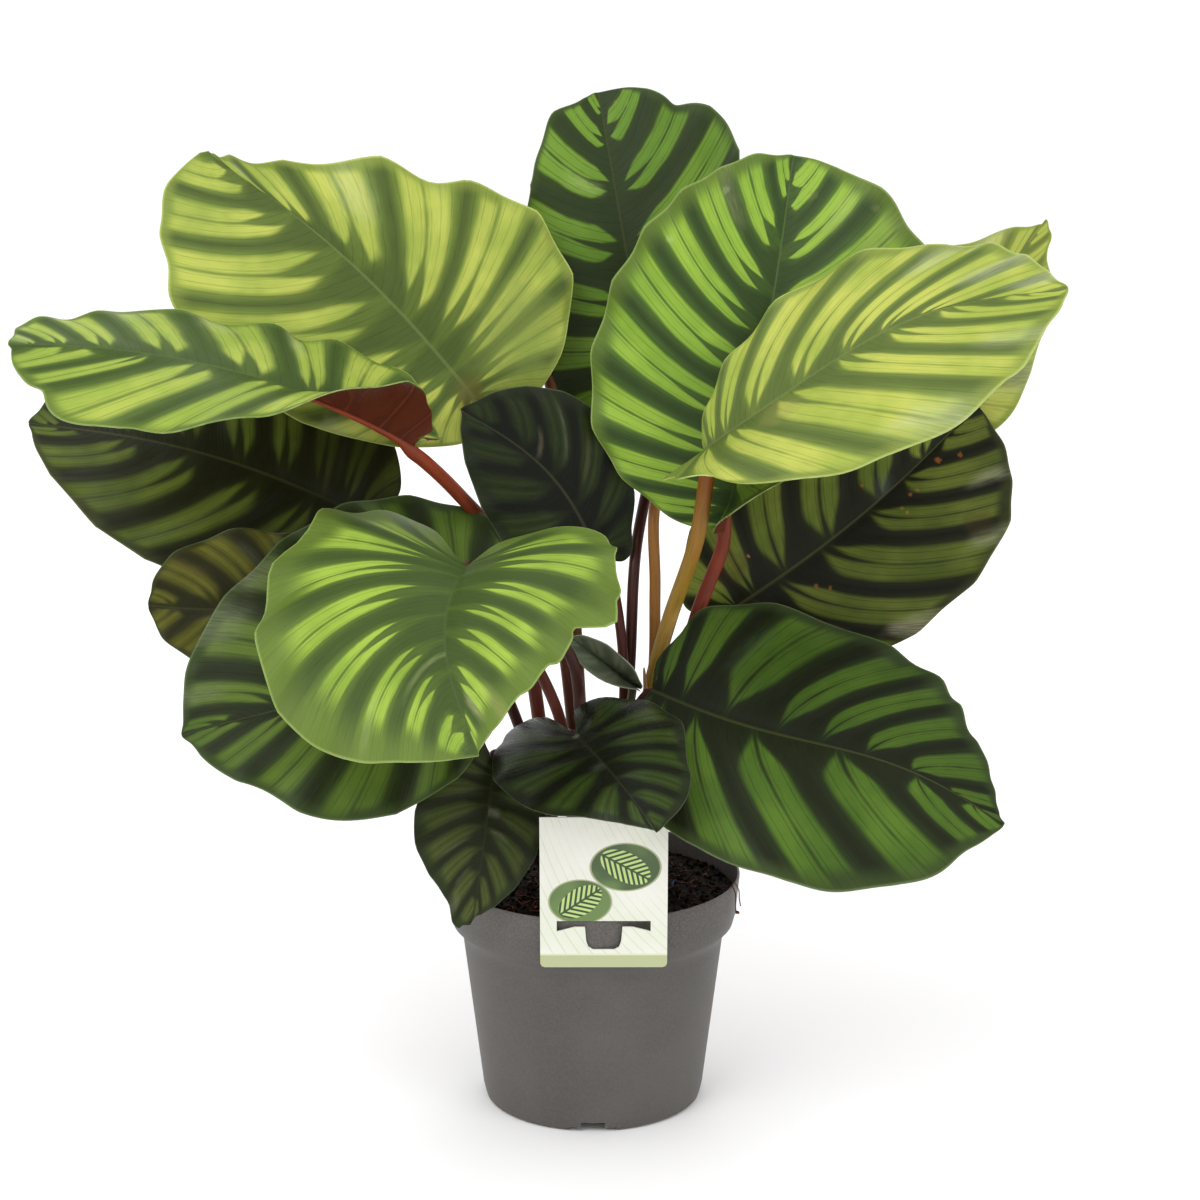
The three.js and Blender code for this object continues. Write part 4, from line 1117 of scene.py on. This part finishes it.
def block_round_axis(width, near, far, low, high, turn):
    """Corners and faces of a block at a distance from the pot's axis, turned round it."""
    cos, sin = math.cos(turn), math.sin(turn)
    corners = [
        (x * cos - y * sin, x * sin + y * cos, z)
        for x in (-width / 2, width / 2) for y in (-far, -near) for z in (low, high)
    ]
    sides = [(0, 1, 3, 2), (4, 6, 7, 5), (0, 4, 5, 1), (2, 3, 7, 6), (0, 2, 6, 4), (1, 5, 7, 3)]
    return corners, sides


def make_pot():
    """The pot's thin wall and floor, with notches and drain holes cut at the foot."""
    outer = fine_profile([(0, 0), POT_OUTSIDE[0]], 12)[:-1] + fine_profile(POT_OUTSIDE, 3)
    inner = fine_profile(POT_INSIDE, 4) + [(0, POT_FLOOR)]
    points, faces = lathe(outer + POT_LIP + inner, POT_SEGMENTS)
    pot = make_object("pot_shell", points, faces, [pot_material()], crease=POT_CREASE)
    for width, start, height in POT_NOTCHES:
        for quarter in range(4):
            block = block_round_axis(width, start, 90, -5, height, math.radians(90 * quarter))
            cutter = make_object("cutter", *block, [])
            cut = pot.modifiers.new("cut", "BOOLEAN")
            cut.operation = "DIFFERENCE"
            cut.solver = "EXACT"
            cut.object = cutter
            with bpy.context.temp_override(object=pot, active_object=pot, selected_objects=[pot]):
                bpy.ops.object.modifier_apply(modifier=cut.name)
            bpy.data.objects.remove(cutter)
    pot.data.set_sharp_from_angle(angle=math.radians(POT_CREASE))
    enter(pot, "pot")


def soil_height(x, y):
    """Height of the soil's surface, in millimetres."""
    radius = math.hypot(x, y)
    angle = math.atan2(y, x)
    share = min(radius / SOIL_RADIUS, 1)
    lump = math.sin(5 * angle + radius / 7) * math.cos(3 * angle - radius / 11)
    coarse = noise.noise(Vector((x / 9, y / 9, 1.5)))
    small = noise.noise(Vector((x / 2.6, y / 2.6, 7.5)))
    rough = (1.6 * coarse + 0.9 * small) * (1 - share ** 10)
    return SOIL_EDGE + SOIL_DOME * (1 - share * share) + 1.2 * lump * (1 - share ** 6) + rough


def soil_material():
    """Dark peat, crumbly and patchy."""
    g = Graph("potting_soil")
    place = g.place()
    crumb = g.noise(place, 420, 4)
    patch = g.noise(place, 60, 3)
    colour = g.blend(g.ease(crumb, 0.35, 0.7), tone((10, 8, 6)), tone((34, 24, 16)))
    colour = g.tint(colour, g.ease(patch, 0.5, 0.7, 0, 0.5), (24, 16, 11))
    g.bump(crumb, 0.9, 0.0012)
    return g.finish(colour, g.ease(crumb, 0.3, 0.7, 0.75, 0.95), Specular_IOR_Level=0.1)


def bits_material(name, low, high):
    """Loose bits on the soil, in two tones."""
    g = Graph(name)
    patch = g.noise(g.place(), 220, 3)
    colour = g.blend(g.ease(patch, 0.35, 0.65), tone(low), tone(high))
    g.bump(g.noise(g.place(), 900, 3), 0.6, 0.0005)
    return g.finish(colour, g.ease(patch, 0.3, 0.7, 0.6, 0.85), Specular_IOR_Level=0.15)


def add_bit(points, faces, slots, slot, centre, size, chance):
    """A small uneven lump: a turned, squashed octahedron with split faces."""
    start = len(points)
    turn = Vector([chance.uniform(-1, 1) for _ in range(3)]).normalized()
    axes = [turn, turn.orthogonal().normalized()]
    axes.append(axes[0].cross(axes[1]))
    reach = [size * chance.uniform(*share) for share in BIT_SHARES]
    corners = [
        axis * sign * far * chance.uniform(0.8, 1.1)
        for axis, far in zip(axes, reach) for sign in (1, -1)
    ]
    octants = [(0, 2, 4), (2, 1, 4), (1, 3, 4), (3, 0, 4), (2, 0, 5), (1, 2, 5), (3, 1, 5), (0, 3, 5)]
    halves = {}
    for octant in octants:
        for a, b in zip(octant, octant[1:] + octant[:1]):
            key = (min(a, b), max(a, b))
            if key not in halves:
                halves[key] = len(corners)
                corners.append((corners[a] + corners[b]) * 0.5 * chance.uniform(1.15, 1.45))
    points += [tuple(Vector(centre) + corner) for corner in corners]
    for a, b, c in octants:
        ab, bc, ca = (halves[(min(p, q), max(p, q))] for p, q in ((a, b), (b, c), (c, a)))
        for face in ((a, ab, ca), (ab, b, bc), (ca, bc, c), (ab, bc, ca)):
            faces.append(tuple(start + i for i in face))
            slots.append(slot)


def add_fibre(points, faces, slots, slot, path, radius):
    """A thin root or fibre along a path of points."""
    way = spline(path, FIBRE_SIDES)
    rings = tube_rings(way, [radius] * len(way), FIBRE_SIDES)
    made = tube_faces(len(rings), FIBRE_SIDES, len(points))
    points += [tuple(p) for ring in rings for p in ring]
    faces += made
    slots += [slot] * len(made)


def make_soil():
    """The potting soil: a rough surface with crumbs, bark bits and fibres on a closed body."""
    chance = random.Random(11)
    top = [(SOIL_RADIUS * i / SOIL_RINGS, 0) for i in reversed(range(SOIL_RINGS + 1))]
    points, faces = lathe(SOIL_SKIRT + top, SOIL_SEGMENTS)
    skirt = 1 + (len(SOIL_SKIRT) - 1) * SOIL_SEGMENTS
    points[skirt:] = [(x, y, soil_height(x, y)) for x, y, _ in points[skirt:]]
    slots = [0] * len(faces)
    for _ in range(CRUMBS):
        radius = (SOIL_RADIUS - 2) * math.sqrt(chance.random())
        angle = chance.uniform(0, 2 * math.pi)
        x, y = on_circle(radius, angle)
        size = 0.6 + 2.2 * chance.random() ** 3
        kind = chance.choices((0, 1, 2), (75, 14, 11))[0]
        add_bit(points, faces, slots, kind, (x, y, soil_height(x, y) + size * 0.25), size, chance)
    for _ in range(FIBRES):
        radius = (SOIL_RADIUS - 9) * math.sqrt(chance.random())
        angle = chance.uniform(0, 2 * math.pi)
        heading = chance.uniform(0, 2 * math.pi)
        x, y = on_circle(radius, angle)
        path = []
        for _ in range(4):
            lift = 0.4 + 1.2 * chance.random()
            path.append((x, y, soil_height(x, y) + lift))
            heading += chance.uniform(-0.7, 0.7)
            step = on_circle(FIBRE_PITCH, heading)
            x, y = x + step[0], y + step[1]
        slot = 2 if chance.random() < 0.6 else 1
        add_fibre(points, faces, slots, slot, path, chance.uniform(0.15, 0.4))
    for angle, side in ((-18, 0.8), (-20, -0.9)):
        way = [(74, 126), (81, 131.5), (84.6, 137), (87.2, 133), (87.6, 127), (88.2, 122 + side)]
        turns = [math.radians(angle) + side * i * 0.008 for i in range(len(way))]
        path = [(*on_circle(radius, turn), z) for turn, (radius, z) in zip(turns, way)]
        add_fibre(points, faces, slots, 2, path, 0.35)
    add_bit(points, faces, slots, 2, (*on_circle(88, -0.35), 121), 2.2, chance)
    add_bit(points, faces, slots, 3, (46, -3, soil_height(46, -3) + 1.5), 2.4, chance)
    materials = [
        soil_material(),
        bits_material("soil_crumbs", (22, 15, 10), (50, 34, 22)),
        bits_material("bark_bits", (74, 40, 20), (122, 72, 40)),
        bits_material("slow_feed", (70, 110, 150), (96, 140, 176)),
    ]
    soil = make_object("soil_bed", points, faces, materials, slots=slots, crease=70)
    enter(soil, "soil")


def card_material():
    """A printed card: cream ground, pale leaf veins, a sage foot band and two striped leaves."""
    g = Graph("card")
    x, y, z = g.split(g.place())
    u = g.times(g.less(x, CARD_MIDDLE * MM), 1 / MM)
    v = g.times(g.less(z, RIM_HEIGHT * MM), CARD_LEAN / MM)
    slant = g.add(0.11, g.times(u, 0.0012))
    lines = g.math("PINGPONG", g.add(g.times(u, 0.16), g.times(v, slant)), 0.5)
    wash = g.noise(g.place(), 30, 2)
    ground = g.blend(g.ease(wash, 0.35, 0.65), tone((222, 221, 212)), tone((213, 216, 200)))
    veins = g.times(g.ease(lines, 0.09, 0.02), g.ease(wash, 0.35, 0.6, 0.2, 0.9))
    colour = g.tint(ground, veins, (193, 201, 174))
    for cu, cv, ru, rv, turn in MEDALLIONS:
        du, dv = g.less(u, cu), g.less(v, cv)
        ring = g.oval((du, dv), (ru, rv))
        cos, sin = math.cos(math.radians(turn)), math.sin(math.radians(turn))
        a = g.add(g.times(du, cos), g.times(dv, sin))
        b = g.less(g.times(dv, cos), g.times(du, sin))
        side = g.math("ABSOLUTE", b)
        leaf = g.oval((a, b), (ru * 0.8, rv * 0.62))
        stripe = g.math("PINGPONG", g.times(g.less(a, g.times(side, 0.9)), 0.28), 0.5)
        inside = g.blend(g.ease(wash, 0.4, 0.6), tone((62, 84, 46)), tone((96, 122, 66)))
        green = g.blend(g.ease(stripe, 0.18, 0.3), tone((34, 62, 34)), tone((178, 200, 120)))
        green = g.tint(green, g.ease(side, 0.9, 0.3), (40, 66, 36))
        inside = g.blend(g.ease(leaf, 1.02, 0.97), inside, green)
        colour = g.tint(colour, g.ease(ring, 1.06, 1.03), (150, 158, 120))
        colour = g.blend(g.ease(ring, 1.0, 0.98), colour, inside)
    foot = g.ease(v, -19.5, -20.2)
    colour = g.tint(colour, foot, (172, 179, 136))
    colour = g.tint(colour, g.times(foot, g.ease(v, -20.9, -20.5), 0.6), (226, 229, 204))
    facing = g.split(g.node("ShaderNodeTexCoord").outputs["Normal"])[1]
    colour = g.blend(g.ease(facing, -0.3, -0.5), tone((214, 212, 200)), colour)
    g.bump(g.noise(g.place(), 1500, 2), 0.06, 0.0003)
    return g.finish(colour, g.ease(wash, 0.3, 0.7, 0.34, 0.44))


def make_studio():
    """Pale floor, soft lamps, a bright surrounding and the camera at the photograph's place."""
    material = Graph("studio_floor").finish((0.95, 0.95, 0.95), 0.8)
    corners = [(x * FLOOR_REACH, y * FLOOR_REACH, 0) for x, y in ((-1, -1), (1, -1), (1, 1), (-1, 1))]
    floor = make_object("studio_floor", corners, [(0, 1, 2, 3)], [material])
    world = bpy.data.worlds.new("studio")
    bpy.context.scene.world = world
    world.use_nodes = True
    sky = world.node_tree.nodes["Background"]
    sky.inputs["Color"].default_value = (1, 1, 1, 1)
    sky.inputs["Strength"].default_value = SKY_STRENGTH
    for name, (place, size, power) in LAMPS.items():
        light = bpy.data.lights.new(name, "AREA")
        light.shape = "DISK"
        light.size = size
        light.energy = power
        lamp = add_to_scene(name, light)
        lamp.location = place
        aim = Vector(LAMP_TARGET) - Vector(place)
        lamp.rotation_euler = aim.to_track_quat("-Z", "Y").to_euler()
    camera = bpy.data.cameras.new("camera")
    camera.sensor_width = SENSOR
    camera.lens = CAMERA_FOCAL * SENSOR / IMAGE_SIZE
    camera.clip_end = 100
    holder = add_to_scene("camera", camera)
    holder.location = (0, -CAMERA_DISTANCE * MM, CAMERA_HEIGHT * MM)
    holder.rotation_euler = (math.radians(90 - CAMERA_PITCH), 0, math.radians(-CAMERA_YAW))
    bpy.context.scene.camera = holder
    bpy.context.scene.view_settings.view_transform = "Standard"


def make_leaves():
    for name, entry in LEAVES.items():
        leaf = {**PLAIN_LEAF, **entry}
        look = {**PLAIN_LOOK, **LOOKS[name]}
        materials = [
            upper_material(name, look, leaf), lower_material(name, look), margin_material(name, look),
        ]
        blade = make_blade(f"leaf_{name}", leaf, materials)
        enter(blade, f"blade_{name}")
        reach = leaf["base"][2] - ROOT_TOP + STEM_BEYOND
        material = stem_material(f"{name}_stem", STEMS.get(name, PLAIN_STEM), reach)
        stem = make_petiole(f"stem_{name}", leaf, material)
        enter(stem, f"petiole_{name}")


def make_shoot():
    path = spline([(*SHOOT["root"], ROOT_TOP), *SHOOT["via"], SHOOT["tip"]], STEM_STEPS)
    path = np.concatenate([[(*SHOOT["root"], ROOT_BOTTOM)], path])
    share = np.clip((SHOOT["tip"][2] - path[:, 2]) / (SHOOT["tip"][2] - ROOT_TOP), 0, 1)
    material = stem_material("new_shoot", SHOOT["skin"], SHOOT["reach"])
    shoot = make_stem("rolled_shoot", path, 0.4 + SHOOT["radius"] * np.sqrt(share), material)
    enter(shoot, "new_shoot")


make_studio()
make_pot()
make_soil()
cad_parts["label_card"].material_slots[0].material = card_material()
make_leaves()
make_shoot()
